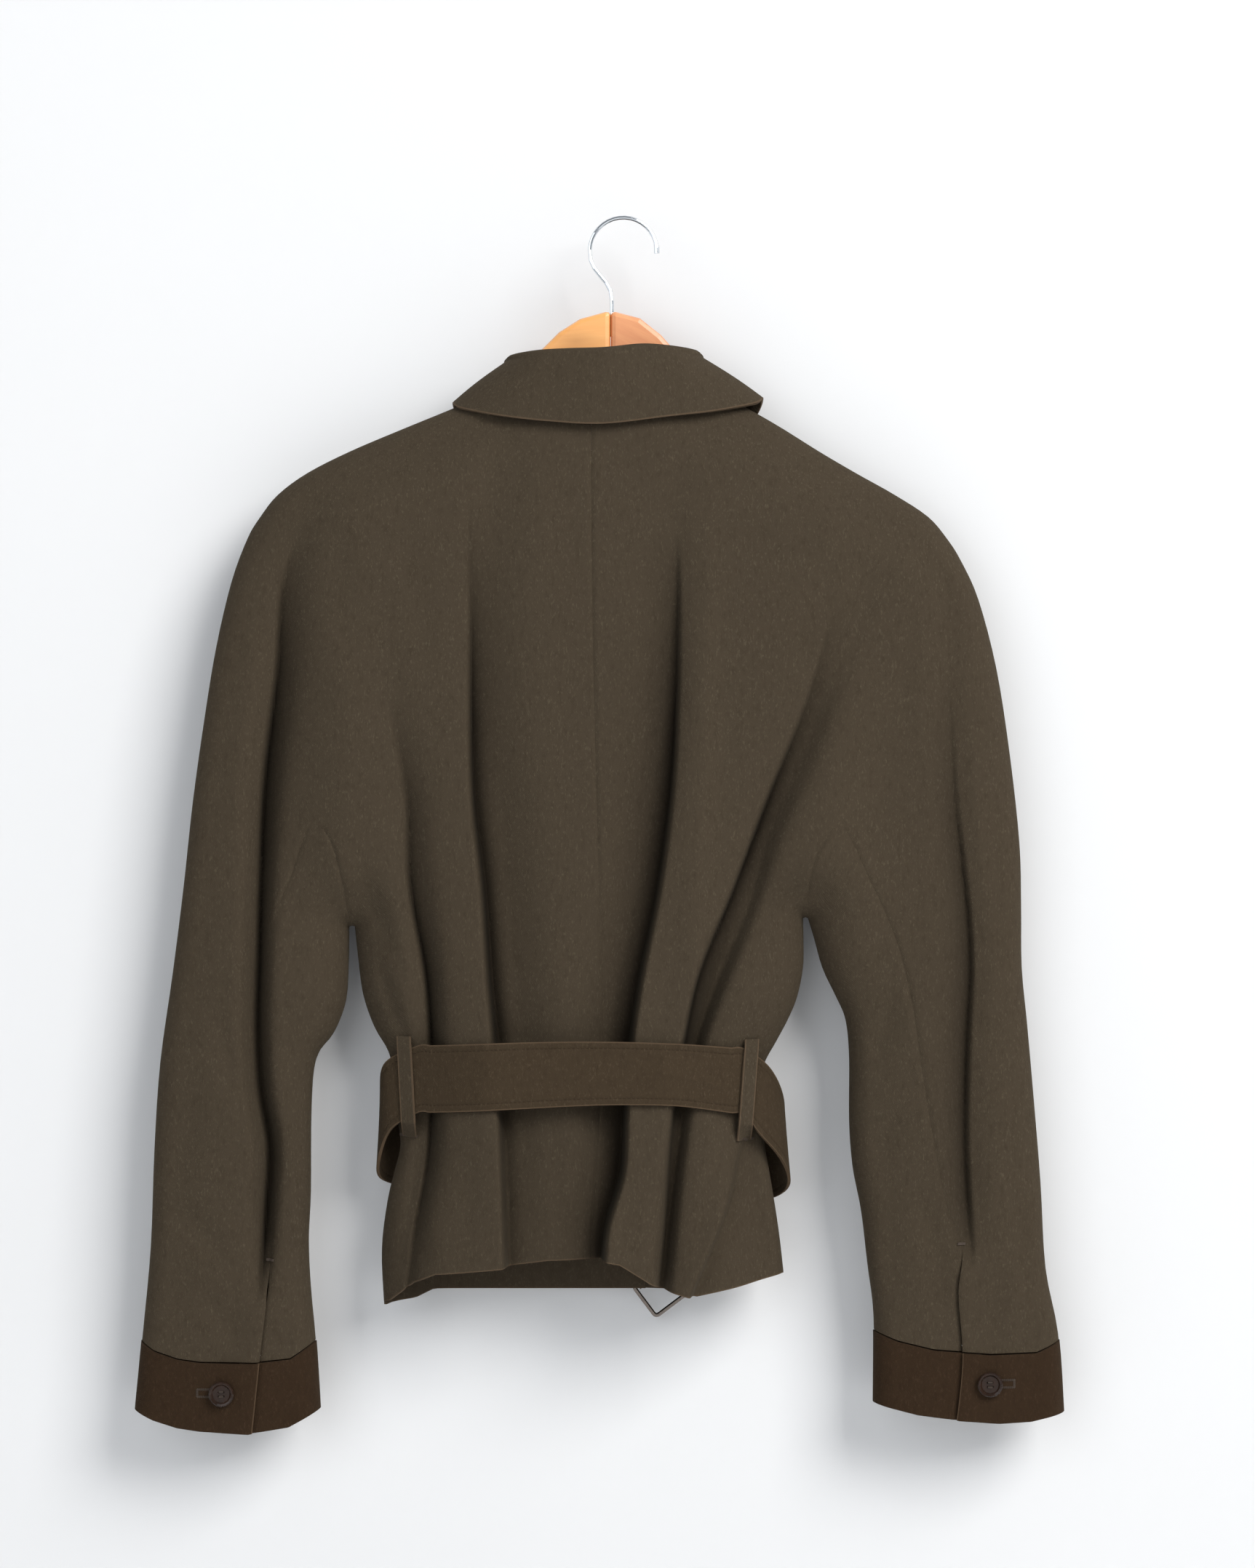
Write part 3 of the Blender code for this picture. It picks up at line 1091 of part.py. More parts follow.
def cuff_button(button):
    """A round button with a raised rim and four holes, on the cuff's lap."""
    work = bmesh.new()
    verts = [work.verts.new((r * MM, 0, h * MM)) for r, h in BUTTON_PROFILE]
    edges = [work.edges.new(pair) for pair in zip(verts, verts[1:])]
    bmesh.ops.spin(work, geom=verts + edges, cent=(0, 0, 0), axis=(0, 0, 1), angle=2 * math.pi, steps=16,
                   use_merge=True)
    bmesh.ops.remove_doubles(work, verts=work.verts, dist=1e-6)
    piece = finish(work, "cuff_button_" + button.side, HORN)
    point, normal = cloth_surface(np.array([button.x]), np.array([button.z]), "back")
    lap_x = float(level(SLEEVE_SEAM[button.side], np.array(-830.0)))
    inner_edge = abs(button.x - lap_x) - BUTTON_PROFILE[2][0]
    lift = CUFF_LIFT + CUFF_LAP_LIFT * math.exp(-(inner_edge / CUFF_LAP_FADE) ** 2) + BUTTON_CLEAR
    piece.location = Vector(point[0] + normal[0] * lift) * MM
    turn = Vector((0, 0, 1)).rotation_difference(Vector(normal[0]))
    piece.rotation_mode = "QUATERNION"
    piece.rotation_quaternion = turn
    for k in range(4):
        angle = math.radians(45 + 90 * k)
        aside = Vector((math.cos(angle), math.sin(angle), 0)) * BUTTON_HOLE_RING
        spot = piece.location + turn @ (aside + Vector((0, 0, 1.5))) * MM
        bpy.ops.mesh.primitive_cylinder_add(vertices=6, radius=BUTTON_HOLE * MM, depth=9 * MM, location=spot)
        drill = bpy.context.object
        drill.name = f"thread_drill_{button.side}_{k}"
        drill.rotation_mode = "QUATERNION"
        drill.rotation_quaternion = turn
        drill.hide_render = True
        drill.display_type = "WIRE"
        cut = piece.modifiers.new("thread hole", "BOOLEAN")
        cut.operation = "DIFFERENCE"
        cut.solver = "EXACT"
        cut.object = drill
    return piece


def clear_scene():
    """Remove whatever the scene holds."""
    for piece in list(bpy.data.objects):
        bpy.data.objects.remove(piece, do_unlink=True)


def main():
    clear_scene()
    for side in ("left", "right"):
        body_panel("back_" + side, side, "back", BODY_LINES[side], SIDE_CELLS[side], SLEEVE_LINES[side])
        body_panel("front_" + side, side, "front", FRONT_LINES[side], FRONT_SIDE_CELLS, [])
        underarm_panel(side)
        cuff(side)
    collar()
    belt()
    for loop in LOOPS:
        belt_loop(loop)
    buckle()
    drill_stem([hanger_half(half) for half in HALVES])
    hanger_hook()
    for button in BUTTONS:
        cuff_button(button)


main()
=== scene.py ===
# %% [markdown]
# # A belted wool jacket on its hanger
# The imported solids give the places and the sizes. They could be shown as they are, but their walls have
# long flat faces. So each cloth piece is built again here as a fine shell on the same outline and folds,
# and the hard pieces (hanger, hook, buckle, buttons) keep their solids and get better materials.

# %% Load the solids
import math
from collections import namedtuple

import bmesh
import bpy
import numpy as np
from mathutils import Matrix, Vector


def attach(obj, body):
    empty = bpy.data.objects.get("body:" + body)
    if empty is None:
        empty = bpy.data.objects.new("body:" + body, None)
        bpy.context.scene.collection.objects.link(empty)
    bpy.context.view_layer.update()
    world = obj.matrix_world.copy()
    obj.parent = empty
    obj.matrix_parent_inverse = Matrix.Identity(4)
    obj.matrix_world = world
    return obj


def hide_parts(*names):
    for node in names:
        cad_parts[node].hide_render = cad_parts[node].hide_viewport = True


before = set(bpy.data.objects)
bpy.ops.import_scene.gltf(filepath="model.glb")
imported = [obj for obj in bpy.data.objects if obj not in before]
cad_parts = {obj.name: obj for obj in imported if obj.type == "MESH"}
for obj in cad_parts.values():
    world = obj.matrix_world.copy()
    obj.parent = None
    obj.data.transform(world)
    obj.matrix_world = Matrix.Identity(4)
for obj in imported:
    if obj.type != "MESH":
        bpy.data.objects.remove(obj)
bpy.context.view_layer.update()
MM = 0.001

# %% [markdown]
# ## Shader arithmetic
# A fabric's colour is a sum of several small effects. Such sums could be built by placing each Math node
# by hand. A small class that wraps a socket lets them be written as ordinary expressions instead.


# %% Sockets that take part in sums
class Wire:
    """An output socket that can be added, subtracted and multiplied."""

    def __init__(self, board, socket):
        self.board, self.socket = board, socket

    def math(self, operation, *others, first=None):
        values = [self, *others] if first is None else [first, self]
        return self.board.node("ShaderNodeMath", {"operation": operation}, dict(enumerate(values)))

    def held(self):
        """The same value, kept between 0 and 1."""
        return self.math("MINIMUM", 1.0).math("MAXIMUM", 0.0)

    def __add__(self, other):
        return self.math("ADD", other)

    def __mul__(self, other):
        return self.math("MULTIPLY", other)

    def __sub__(self, other):
        return self.math("SUBTRACT", other)

    def __rsub__(self, other):
        return self.math("SUBTRACT", first=other)

    __radd__, __rmul__ = __add__, __mul__


class Board:
    """One material's node tree."""

    def __init__(self, name, roughness=0.8, metallic=0.0, **constants):
        self.material = bpy.data.materials.new(name)
        self.material.use_nodes = True
        self.tree = self.material.node_tree
        self.shader = self.tree.nodes["Principled BSDF"]
        self.shader.inputs["Roughness"].default_value = roughness
        self.shader.inputs["Metallic"].default_value = metallic
        for socket, value in constants.items():
            self.shader.inputs[socket.replace("_", " ")].default_value = value

    def node(self, kind, settings=None, inputs=None, out=0):
        """Any node: its settings first, then the values or links of its sockets."""
        made = self.tree.nodes.new(kind)
        for key, value in (settings or {}).items():
            setattr(made, key, value)
        for key, value in (inputs or {}).items():
            self.plug(made.inputs[key], value)
        return Wire(self, made.outputs[out])

    def plug(self, socket, value):
        if isinstance(value, Wire):
            self.tree.links.new(value.socket, socket)
        elif value is not None:
            socket.default_value = value

    def blend(self, factor, first, second):
        """Two colours mixed by a factor."""
        first, second = [c if isinstance(c, Wire) else (*c, 1.0) for c in (first, second)]
        return self.node("ShaderNodeMix", {"data_type": "RGBA"}, {0: factor, 6: first, 7: second}, out=2)

    def place(self):
        """The place on the object itself."""
        return self.node("ShaderNodeTexCoord", out=3)

    def noise(self, where, scale, detail, roughness=0.5):
        return self.node("ShaderNodeTexNoise", {}, {"Vector": where, "Scale": scale, "Detail": detail,
                                                    "Roughness": roughness})

    def split(self, vector):
        """A vector's three parts."""
        parts = self.node("ShaderNodeSeparateXYZ", {}, {0: vector}).socket.node
        return [Wire(self, parts.outputs[k]) for k in range(3)]

    def bump(self, height, strength, distance):
        return self.node("ShaderNodeBump", {}, {"Height": height, "Strength": strength,
                                                "Distance": distance * MM})

    def paint(self, **sockets):
        for name, value in sockets.items():
            self.plug(self.shader.inputs[name.replace("_", " ")], value)
        return self.material


# %% [markdown]
# ## The wool
# The cloth is a fine brown-grey wool twill. Close up it is mottled: olive and dark-brown fibres are spun
# together. An image could show that, but a procedural mix of noises at fibre, yarn and cloth scale stays
# sharp at any distance. Each piece carries an attribute named cloth, which holds the place on the cloth
# across and down, and how far the nearest cut edge is, all in metres. A second one, named deep, says how far
# down in a fold each place lies. There the wool gets painted shade, nearly black.


# %% A wool for each colour of piece
Wool = namedtuple("Wool", "name base dark light")
JACKET_WOOL = Wool("wool", (0.055, 0.042, 0.028), (0.023, 0.016, 0.010), (0.116, 0.096, 0.064))
CUFF_WOOL = Wool("cuff_wool", (0.032, 0.019, 0.0107), (0.014, 0.008, 0.005), (0.068, 0.042, 0.026))
BELT_WOOL = Wool("belt_wool", (0.047, 0.033, 0.020), (0.020, 0.0125, 0.0077), (0.100, 0.074, 0.047))
EDGE_BROWN = (0.12, 0.08, 0.05)
STITCH_INSET = 5.0
FIBRE_STRETCH = (1.0, 1.0, 0.4)
FLECK_SCALE, YARN_SCALE, PATCH_SCALE = 900.0, 330.0, 26.0
TWILL_PITCH = 0.0011
# The fold share and tone set the painted shade that darkens the wool deep in its folds.
PALE_SHARE, DEEP_SHARE, PATCH_SHARE, RIM_SHARE, FOLD_SHADE_SHARE = 0.45, 0.42, 0.3, 0.55, 0.92
PATCH_TONE, FOLD_SHADE_TONE = 0.78, 0.12
RIM_WIDTH, RIM_SHARPNESS = 0.0011, 1400.0
STITCH_PITCH, STITCH_HALF, GROOVE_HALF = 0.0032, 0.0006, 0.0016
NAP_STRENGTH, NAP_HEIGHT = 0.55, 0.35


def wool_material(wool, stitched=False):
    """Mottled twill with a soft nap, with painted shade deep in its folds and a little paler along its cut
    edges.
    """
    board = Board(wool.name, roughness=0.95, Sheen_Weight=0.04, Sheen_Roughness=0.5,
                  Sheen_Tint=(0.8, 0.68, 0.5, 1.0), Specular_IOR_Level=0.05)
    cloth = board.node("ShaderNodeAttribute", {"attribute_name": "cloth"}, out=1)
    across, down, edge = board.split(cloth)
    place = board.place()
    x, y, z = board.split(place)
    long_fibres = board.node("ShaderNodeVectorMath", {"operation": "MULTIPLY"}, {0: place, 1: FIBRE_STRETCH})
    fleck = board.noise(long_fibres, FLECK_SCALE, 2.0, 0.6)
    yarn = board.noise(long_fibres, YARN_SCALE, 3.0, 0.65)
    patch = board.noise(place, PATCH_SCALE, 3.0, 0.6)
    twill = ((x + z + y) * (2 * math.pi / TWILL_PITCH)).math("SINE")
    pale = ((fleck - 0.56) * 6.0).held()
    deep = ((yarn - 0.5) * 3.5).held()
    colour = board.blend(deep * DEEP_SHARE, wool.base, wool.dark)
    colour = board.blend(pale * PALE_SHARE, colour, wool.light)
    colour = board.blend(patch * PATCH_SHARE, colour, [value * PATCH_TONE for value in wool.base])
    rim = ((RIM_WIDTH - edge) * RIM_SHARPNESS).held()
    colour = board.blend(rim * RIM_SHARE, colour, EDGE_BROWN)
    # Painted shade: where the deep attribute is high, the colour goes towards near black.
    fold_shade_mask = board.node("ShaderNodeAttribute", {"attribute_name": "deep"}, out=2)
    colour = board.blend(fold_shade_mask * FOLD_SHADE_SHARE, colour, [value * FOLD_SHADE_TONE for value in wool.dark])
    height = twill * 0.25 + fleck * 0.8 + yarn * 0.9
    if stitched:
        from_line = (edge - STITCH_INSET * MM).math("ABSOLUTE")
        dash = (((across * (2 * math.pi / STITCH_PITCH)).math("SINE") + 0.55) * 3.0).held()
        thread = (1.0 - (from_line * (1.0 / STITCH_HALF)).math("MINIMUM", 1.0)) * dash
        colour = board.blend(thread * 0.6, colour, wool.dark)
        height = height + (from_line * (1.0 / GROOVE_HALF)).math("MINIMUM", 1.0) * 2.6
    return board.paint(Base_Color=colour, Normal=board.bump(height, NAP_STRENGTH, NAP_HEIGHT))


WOOLS = {"wool": wool_material(JACKET_WOOL), "cuff_wool": wool_material(CUFF_WOOL),
         "belt_wool": wool_material(BELT_WOOL, stitched=True)}
print("wools:", list(WOOLS))

# %% [markdown]
# ## The outline
# The jacket hangs almost flat, so its outline from behind says most about its cut. The outline could be
# traced with hundreds of points. A few listed points and a smooth curve between them keep it clean.
# All sizes here are in millimetres, from the hook's contact with its peg.

# %% Sizes and outline tables
WALL = 1.8
SEAM_GAP = 0.04
TRACE_PIECES = 4
EDGE_RADIUS = 15.0
FILL_REACH = 28.0
UNDERARM_TOP = -435.5
CENTRE = -14.0
FRONT_LAP = 30.0
LAP_LIFT = 2.6
LAP_NEAR = (70.0, 30.0)
SLIT_TOP = {"left": -745.0, "right": -733.0}
SLIT_LIFT = 2.2
SLIT_FADE = 25.0
SLIT_NEAR = (24.0, 2.0)
CUFF_LAP = 14.0
CUFF_LIFT = 0.6
CUFF_GAP = 1.0
CUFF_LAP_LIFT = 3.4
SIDES = ("left", "right")
FORK_Z = {"left": -506.0, "right": -500.0}
CORNER_Z = {"left": -197.0, "right": -212.7}

Point = namedtuple("Point", "x z")
Row = namedtuple("Row", "z value")

OUTER_EDGE = {
    "left": [Point(-80, -118), Point(-126, -137), Point(-159, -150.5), Point(-195.5, -166),
             Point(-226, -181.5), Point(-247, -197), Point(-259.5, -212.7), Point(-268.8, -228.3),
             Point(-280.3, -259.5), Point(-291, -305), Point(-299, -353), Point(-307.8, -415.5),
             Point(-314.6, -478), Point(-322.4, -540), Point(-331.2, -603), Point(-335.4, -665),
             Point(-338, -735), Point(-344, -800), Point(-350, -862), Point(-352, -880)],
    "right": [Point(52, -115), Point(104.5, -144), Point(140, -166), Point(166.4, -181.5),
              Point(194, -197), Point(217.9, -212.7), Point(231.4, -228.3), Point(241.3, -243.9),
              Point(254, -272), Point(267, -322), Point(276.6, -384), Point(283.4, -446.7),
              Point(284.6, -493), Point(285, -535), Point(289, -577), Point(294, -634),
              Point(298.5, -690), Point(302, -750), Point(311, -797), Point(315, -856),
              Point(316, -880)],
}
SLEEVE_INNER = {
    "left": [Point(-196, -506), Point(-196.5, -536), Point(-198.5, -560), Point(-207, -582),
             Point(-219.5, -600), Point(-223, -635), Point(-223.5, -696), Point(-225, -730),
             Point(-223.5, -764), Point(-220, -802), Point(-217, -850), Point(-216, -880)],
    "right": [Point(132, -500), Point(136, -513), Point(142.5, -536), Point(152.5, -557),
              Point(159, -573), Point(161.5, -600), Point(161.5, -645), Point(164, -678),
              Point(170, -709), Point(174.5, -747), Point(179, -785), Point(179, -845),
              Point(179, -880)],
}
BODY_SIDE = {
    "left": [Point(-192, -506), Point(-189.5, -530), Point(-186, -555), Point(-178, -578),
             Point(-167, -598), Point(-165, -622), Point(-161.5, -644), Point(-159.5, -663),
             Point(-163.5, -680), Point(-169, -704), Point(-172.8, -738), Point(-171, -780),
             Point(-171, -800)],
    "right": [Point(128.5, -500), Point(129, -520), Point(128.5, -536), Point(124.5, -556),
              Point(118, -572), Point(109.5, -588), Point(100.5, -605), Point(99.3, -622),
              Point(99.5, -650), Point(106, -690), Point(111, -722), Point(114.5, -752),
              Point(117, -780)],
}
NECK_RISE = [Point(-80, -118), Point(-60, -103), Point(-38, -91), Point(-14, -86), Point(12, -90),
             Point(34, -101), Point(52, -115)]
SLEEVE_SEAM = {
    "left": [Row(-435.5, -223.6), Row(-452, -230), Row(-468, -235), Row(-484, -242), Row(-512, -250.5),
             Row(-530, -253), Row(-586, -254.6), Row(-622, -254.6), Row(-706, -251.5), Row(-745, -251.5),
             Row(-808, -257.7), Row(-870, -264)],
    "right": [Row(-435.5, 157), Row(-443, 161.2), Row(-467, 172.5), Row(-492, 184.4), Row(-521, 195.8),
              Row(-557, 204.5), Row(-612, 212.8), Row(-646, 218.5), Row(-679, 224.7), Row(-702, 229.3),
              Row(-734, 240.7), Row(-762, 238.1), Row(-808, 240.7), Row(-870, 235)],
}
BODY_SEAM = {
    "left": [Row(-435.5, -211.7), Row(-447, -206), Row(-459, -202.4), Row(-475, -198.8),
             Row(-492, -196.2), Row(-506, -194)],
    "right": [Row(-435.5, 148), Row(-452, 138), Row(-468, 133), Row(-486, 130.5), Row(-500, 130.2)],
}
ARM_LINE = {"left": [Row(-200, -205), Row(-435.5, -211.7)],
            "right": [Row(-200, 180), Row(-274, 188), Row(-347, 173), Row(-435.5, 148)]}
CENTRE_BACK = [Row(-118, -23), Row(-300, -21.4), Row(-466, -17.4), Row(-584, -14.8), Row(-640, -17),
               Row(-740, -23)]
HEM = {
    "back": [Point(-175, -775), Point(-167, -772), Point(-157, -764), Point(-149, -757), Point(-133, -750),
             Point(-113, -748), Point(-82, -744.6), Point(-53, -740.3), Point(-17, -739.5),
             Point(-2.5, -742), Point(12, -751), Point(25.6, -759.6), Point(48, -766), Point(52, -767),
             Point(81.5, -760.6), Point(118, -752)],
    "front": [Point(-175, -777), Point(-150, -774), Point(-137, -768), Point(14, -768), Point(50, -769),
              Point(81.5, -762), Point(118, -753)],
}
NECK = {"back": [Point(-80, -118), Point(-60, -121), Point(-14, -123), Point(30, -120), Point(52, -115)],
        "front": [Point(-80, -118), Point(-62, -139), Point(-40, -163), Point(-14, -176), Point(14, -163),
                  Point(35, -138), Point(52, -115)]}
CUFF_TOP = {"left": [Point(-346, -801), Point(-334, -808), Point(-317, -813.5), Point(-301, -815.6),
                     Point(-262, -816), Point(-237, -813.5), Point(-218, -801)],
            "right": [Point(177, -794), Point(195.5, -801), Point(220.8, -806.8), Point(261, -810),
                      Point(294, -809), Point(313, -801)]}
CUFF_BOTTOM = {"left": [Point(-350, -850), Point(-334, -857), Point(-317, -862), Point(-301, -864.2),
                        Point(-267, -866), Point(-238, -861.6), Point(-215, -849)],
               "right": [Point(177, -845), Point(209.4, -852.8), Point(240, -856.5), Point(267, -858.5),
                         Point(290, -857.5), Point(315, -852)]}


def level(rows, z):
    """A value read from a table of rows at the heights z, smooth between rows and level past them."""
    table = sorted(rows)
    keys = np.array([row[0] for row in table], float)
    values = np.array([row[1] for row in table], float)
    slopes = np.gradient(values, keys)
    place = np.clip(np.asarray(z, float), keys[0], keys[-1])
    index = np.clip(np.searchsorted(keys, place) - 1, 0, len(keys) - 2)
    span = keys[index + 1] - keys[index]
    part = (place - keys[index]) / span
    start = values[index] * (1 + 2 * part) + slopes[index] * span * part
    end = values[index + 1] * (3 - 2 * part) - slopes[index + 1] * span * (1 - part)
    return start * (1 - part) ** 2 + end * part ** 2


def smooth_step(low, high, value):
    """0 at low and 1 at high, with a soft start and end."""
    part = np.clip((value - low) / (high - low), 0.0, 1.0)
    return part * part * (3 - 2 * part)


def curve(values, places):
    """A smooth curve through values that are one step apart."""
    return level(list(enumerate(values)), places)


def trace(points):
    """A smooth line through listed points."""
    places = np.linspace(0, len(points) - 1, (len(points) - 1) * TRACE_PIECES + 1)
    return np.stack([curve([point[k] for point in points], places) for k in (0, 1)], axis=1)


def lines_at(lines, s):
    """Where each named line of a strip runs, at the share s of its length."""
    place = s * (len(lines) - 1)
    return [np.stack([curve(lines[:, k, axis], place) for axis in range(3)], axis=-1)
            for k in range(lines.shape[1])]


OUTLINE = {side: trace(OUTER_EDGE[side]) for side in SIDES}
INNER_LINE = {side: np.concatenate([trace(SLEEVE_INNER[side])[::-1], trace(BODY_SIDE[side])])
              for side in SIDES}
NECK_LINE = trace(NECK_RISE)
RIMS = [NECK_LINE, OUTLINE["left"], INNER_LINE["left"], INNER_LINE["right"], OUTLINE["right"]]
RIM_STARTS = np.concatenate([line[:-1] for line in RIMS])
RIM_RUNS = np.concatenate([line[1:] - line[:-1] for line in RIMS])
WHOLE_SHAPE = np.concatenate([OUTLINE["left"], INNER_LINE["left"], INNER_LINE["right"][::-1],
                              OUTLINE["right"][::-1], NECK_LINE[::-1]])
print("outline segments:", len(RIM_STARTS))

# %% [markdown]
# ## How far the cloth stands out
# Hung cloth is a shallow pillow: round at its edges and nearly level inside, with long soft folds that the
# belt gathers. It could be simulated, but the folds in the photo have known places. A height over the
# outline, made from the distance to the edge and a short table of folds, puts each fold where it hangs.


# %% Distance to the outline
AT_ONCE = 3000


def edge_distance_of(points):
    """How far inside the outline each point lies, and 0 outside."""
    offset = points[:, None, :] - RIM_STARTS[None, :, :]
    along_rim = np.clip((offset * RIM_RUNS).sum(axis=2) / (RIM_RUNS ** 2).sum(axis=1), 0, 1)
    distance = np.sqrt(((offset - along_rim[..., None] * RIM_RUNS) ** 2).sum(axis=2).min(axis=1))
    start, end = WHOLE_SHAPE[None, :, :], np.roll(WHOLE_SHAPE, -1, axis=0)[None, :, :]
    x, z = points[:, :1], points[:, 1:]
    spans = (start[..., 1] > z) != (end[..., 1] > z)
    rise = np.where(spans, end[..., 1] - start[..., 1], 1.0)
    cross = start[..., 0] + (z - start[..., 1]) * (end[..., 0] - start[..., 0]) / rise
    return np.where((spans & (x < cross)).sum(axis=1) % 2 == 1, distance, 0.0)


def edge_distance(x, z):
    """The same for a grid of places, a few thousand at a time."""
    flat = np.stack([np.ravel(x), np.ravel(z)], axis=1)
    parts = [edge_distance_of(flat[i:i + AT_ONCE]) for i in range(0, len(flat), AT_ONCE)]
    return np.concatenate(parts).reshape(np.shape(x))


# %% The folds of the back
Fold = namedtuple("Fold", "path depth left right")
Step = namedtuple("Step", "path rise drop side up_fade down_fade")
SIDE_VALLEY_LEFT = [Row(-170, -172), Row(-243, -176), Row(-295, -169.3), Row(-348, -163.1),
                    Row(-400, -154.9), Row(-477, -145.7), Row(-549, -138), Row(-588, -136.5),
                    Row(-641, -138), Row(-672, -142), Row(-718, -149.8), Row(-763, -155)]
BAND_EDGE_LEFT = [Row(-140, -112), Row(-240, -108), Row(-282, -107), Row(-347, -107), Row(-413, -105.5),
                  Row(-479, -98.5), Row(-544, -94), Row(-587, -90), Row(-642, -86), Row(-744, -82)]
INNER_VALLEY_LEFT = [Row(-118, -80), Row(-179, -91), Row(-303, -95.6), Row(-370, -91.5),
                     Row(-451, -82.2), Row(-518, -76.6), Row(-588, -69.4), Row(-640, -66), Row(-744, -64)]
INNER_VALLEY_RIGHT = [Row(-170, 37), Row(-236, 35), Row(-303, 33.4), Row(-357, 30.9), Row(-424, 22.7),
                      Row(-464, 14.9), Row(-518, 3.5), Row(-588, -7), Row(-640, -11), Row(-740, -19.5)]
BAND_EDGE_RIGHT = [Row(-200, 37), Row(-282, 38), Row(-347, 37), Row(-413, 33), Row(-479, 24), Row(-544, 11),
                   Row(-583, 5), Row(-640, 1), Row(-676, -1), Row(-720, -13), Row(-745, -15)]
BAND_RIDGE_RIGHT = [Row(-115, 52), Row(-237, 60.3), Row(-304, 57.7), Row(-384, 56.2), Row(-464, 52.6),
                    Row(-544, 49.5), Row(-585, 44), Row(-640, 33), Row(-760, 19)]
LONG_EDGE_RIGHT = [Row(-280, 150), Row(-347, 131), Row(-413, 104), Row(-479, 79), Row(-544, 53),
                   Row(-587, 44), Row(-640, 36), Row(-720, 30), Row(-762, 26)]
SIDE_CREASE_LEFT = [Row(-347, -165), Row(-413, -153), Row(-479, -150), Row(-544, -139), Row(-588, -136),
                    Row(-676, -139), Row(-720, -147), Row(-763, -153)]
LONG_VALLEY_RIGHT = [Row(-200, 160), Row(-274, 166.5), Row(-316, 152.1), Row(-347, 139.3),
                     Row(-390, 122.8), Row(-437, 103.3), Row(-491, 87.4), Row(-545, 65.8),
                     Row(-586, 51.4), Row(-639, 41.6), Row(-762, 27.3)]
CORNER_FOLD_RIGHT = [Row(-200, 172), Row(-274, 180), Row(-347, 157), Row(-435, 128), Row(-500, 117),
                     Row(-556, 110), Row(-588, 97), Row(-620, 91), Row(-646, 89), Row(-667, 82),
                     Row(-694, 76.2), Row(-766, 48)]
SLEEVE_VALLEY_LEFT = [Row(-203, -218), Row(-242, -236), Row(-326, -246), Row(-410, -256),
                      Row(-477, -258.5), Row(-535, -260), Row(-579, -261), Row(-622, -259),
                      Row(-661, -253), Row(-707, -255), Row(-746, -257), Row(-870, -272)]
SLEEVE_VALLEY_RIGHT = [Row(-215, 198), Row(-230, 207), Row(-250, 220), Row(-326, 229.8), Row(-368, 232.9),
                       Row(-410, 235), Row(-463, 241.2), Row(-499, 245.3), Row(-536, 246.9),
                       Row(-579, 245), Row(-661, 243.4), Row(-714, 246), Row(-734, 247), Row(-870, 250)]
TROUGHS = [
    Fold(SLEEVE_VALLEY_LEFT, [Row(-195, 0), Row(-242, 4), Row(-326, 8), Row(-410, 12), Row(-477, 14),
                              Row(-535, 16), Row(-660, 16), Row(-707, 12), Row(-746, 5), Row(-775, 0)],
         [Row(-300, 14), Row(-450, 9), Row(-660, 7)], [Row(-300, 16), Row(-450, 9), Row(-660, 7)]),
    Fold(SIDE_VALLEY_LEFT, [Row(-240, 0), Row(-300, 2), Row(-400, 4), Row(-477, 6), Row(-549, 9),
                            Row(-641, 9), Row(-672, 7), Row(-720, 4), Row(-763, 2)],
         [Row(-300, 18), Row(-588, 11)], [Row(-300, 16), Row(-588, 8)]),
    Fold(INNER_VALLEY_LEFT, [Row(-140, 0), Row(-200, 3), Row(-303, 4), Row(-370, 5), Row(-450, 6),
                             Row(-588, 5), Row(-640, 3), Row(-744, 1)],
         [Row(-300, 14), Row(-500, 11)], [Row(-300, 20), Row(-500, 20)]),
    Fold(INNER_VALLEY_RIGHT, [Row(-165, 0), Row(-236, 3), Row(-303, 5), Row(-357, 6), Row(-518, 7),
                              Row(-588, 5), Row(-640, 2), Row(-740, 0)],
         [Row(-300, 20), Row(-500, 20)], [Row(-300, 12), Row(-500, 10)]),
    Fold(BAND_RIDGE_RIGHT, [Row(-200, 0), Row(-304, -3), Row(-384, -4), Row(-464, -5), Row(-585, -5),
                            Row(-760, -3)],
         [Row(-300, 16), Row(-500, 16)], [Row(-300, 9), Row(-500, 9)]),
    Fold(LONG_VALLEY_RIGHT, [Row(-240, 0), Row(-290, 4), Row(-350, 7), Row(-437, 9), Row(-491, 11),
                             Row(-545, 13), Row(-586, 14), Row(-639, 14), Row(-762, 12)],
         [Row(-300, 18), Row(-437, 14), Row(-545, 8), Row(-586, 6)],
         [Row(-300, 14), Row(-437, 9), Row(-545, 6), Row(-700, 4.5)]),
    Fold(SLEEVE_VALLEY_RIGHT, [Row(-225, 0), Row(-290, 4), Row(-410, 6), Row(-536, 7), Row(-661, 7),
                               Row(-714, 5), Row(-750, 1)],
         [Row(-300, 13), Row(-500, 13)], [Row(-300, 12), Row(-500, 12)]),
]
STEPS = [
    Step(BAND_EDGE_LEFT, [Row(-330, 0), Row(-384, 2), Row(-452, 4), Row(-525, 6), Row(-587, 8),
                          Row(-642, 9), Row(-744, 8)],
         [Row(-330, 0), Row(-452, 3), Row(-525, 5), Row(-587, 7), Row(-642, 9), Row(-744, 9)], -1, 30, 26),
    Step(BAND_EDGE_RIGHT, [Row(-350, 0), Row(-450, 4), Row(-531, 6), Row(-583, 8), Row(-640, 9),
                           Row(-738, 8)],
         [Row(-350, 0), Row(-450, 3), Row(-583, 7), Row(-640, 9), Row(-738, 9)], 1, 30, 26),
    Step(CORNER_FOLD_RIGHT, [Row(-640, 0), Row(-667, 3), Row(-694, 4), Row(-766, 4)],
         [Row(-622, 0), Row(-646, 5), Row(-694, 12), Row(-766, 17)], -1, 20, 60),
]
STEP_WIDTH = 1.2
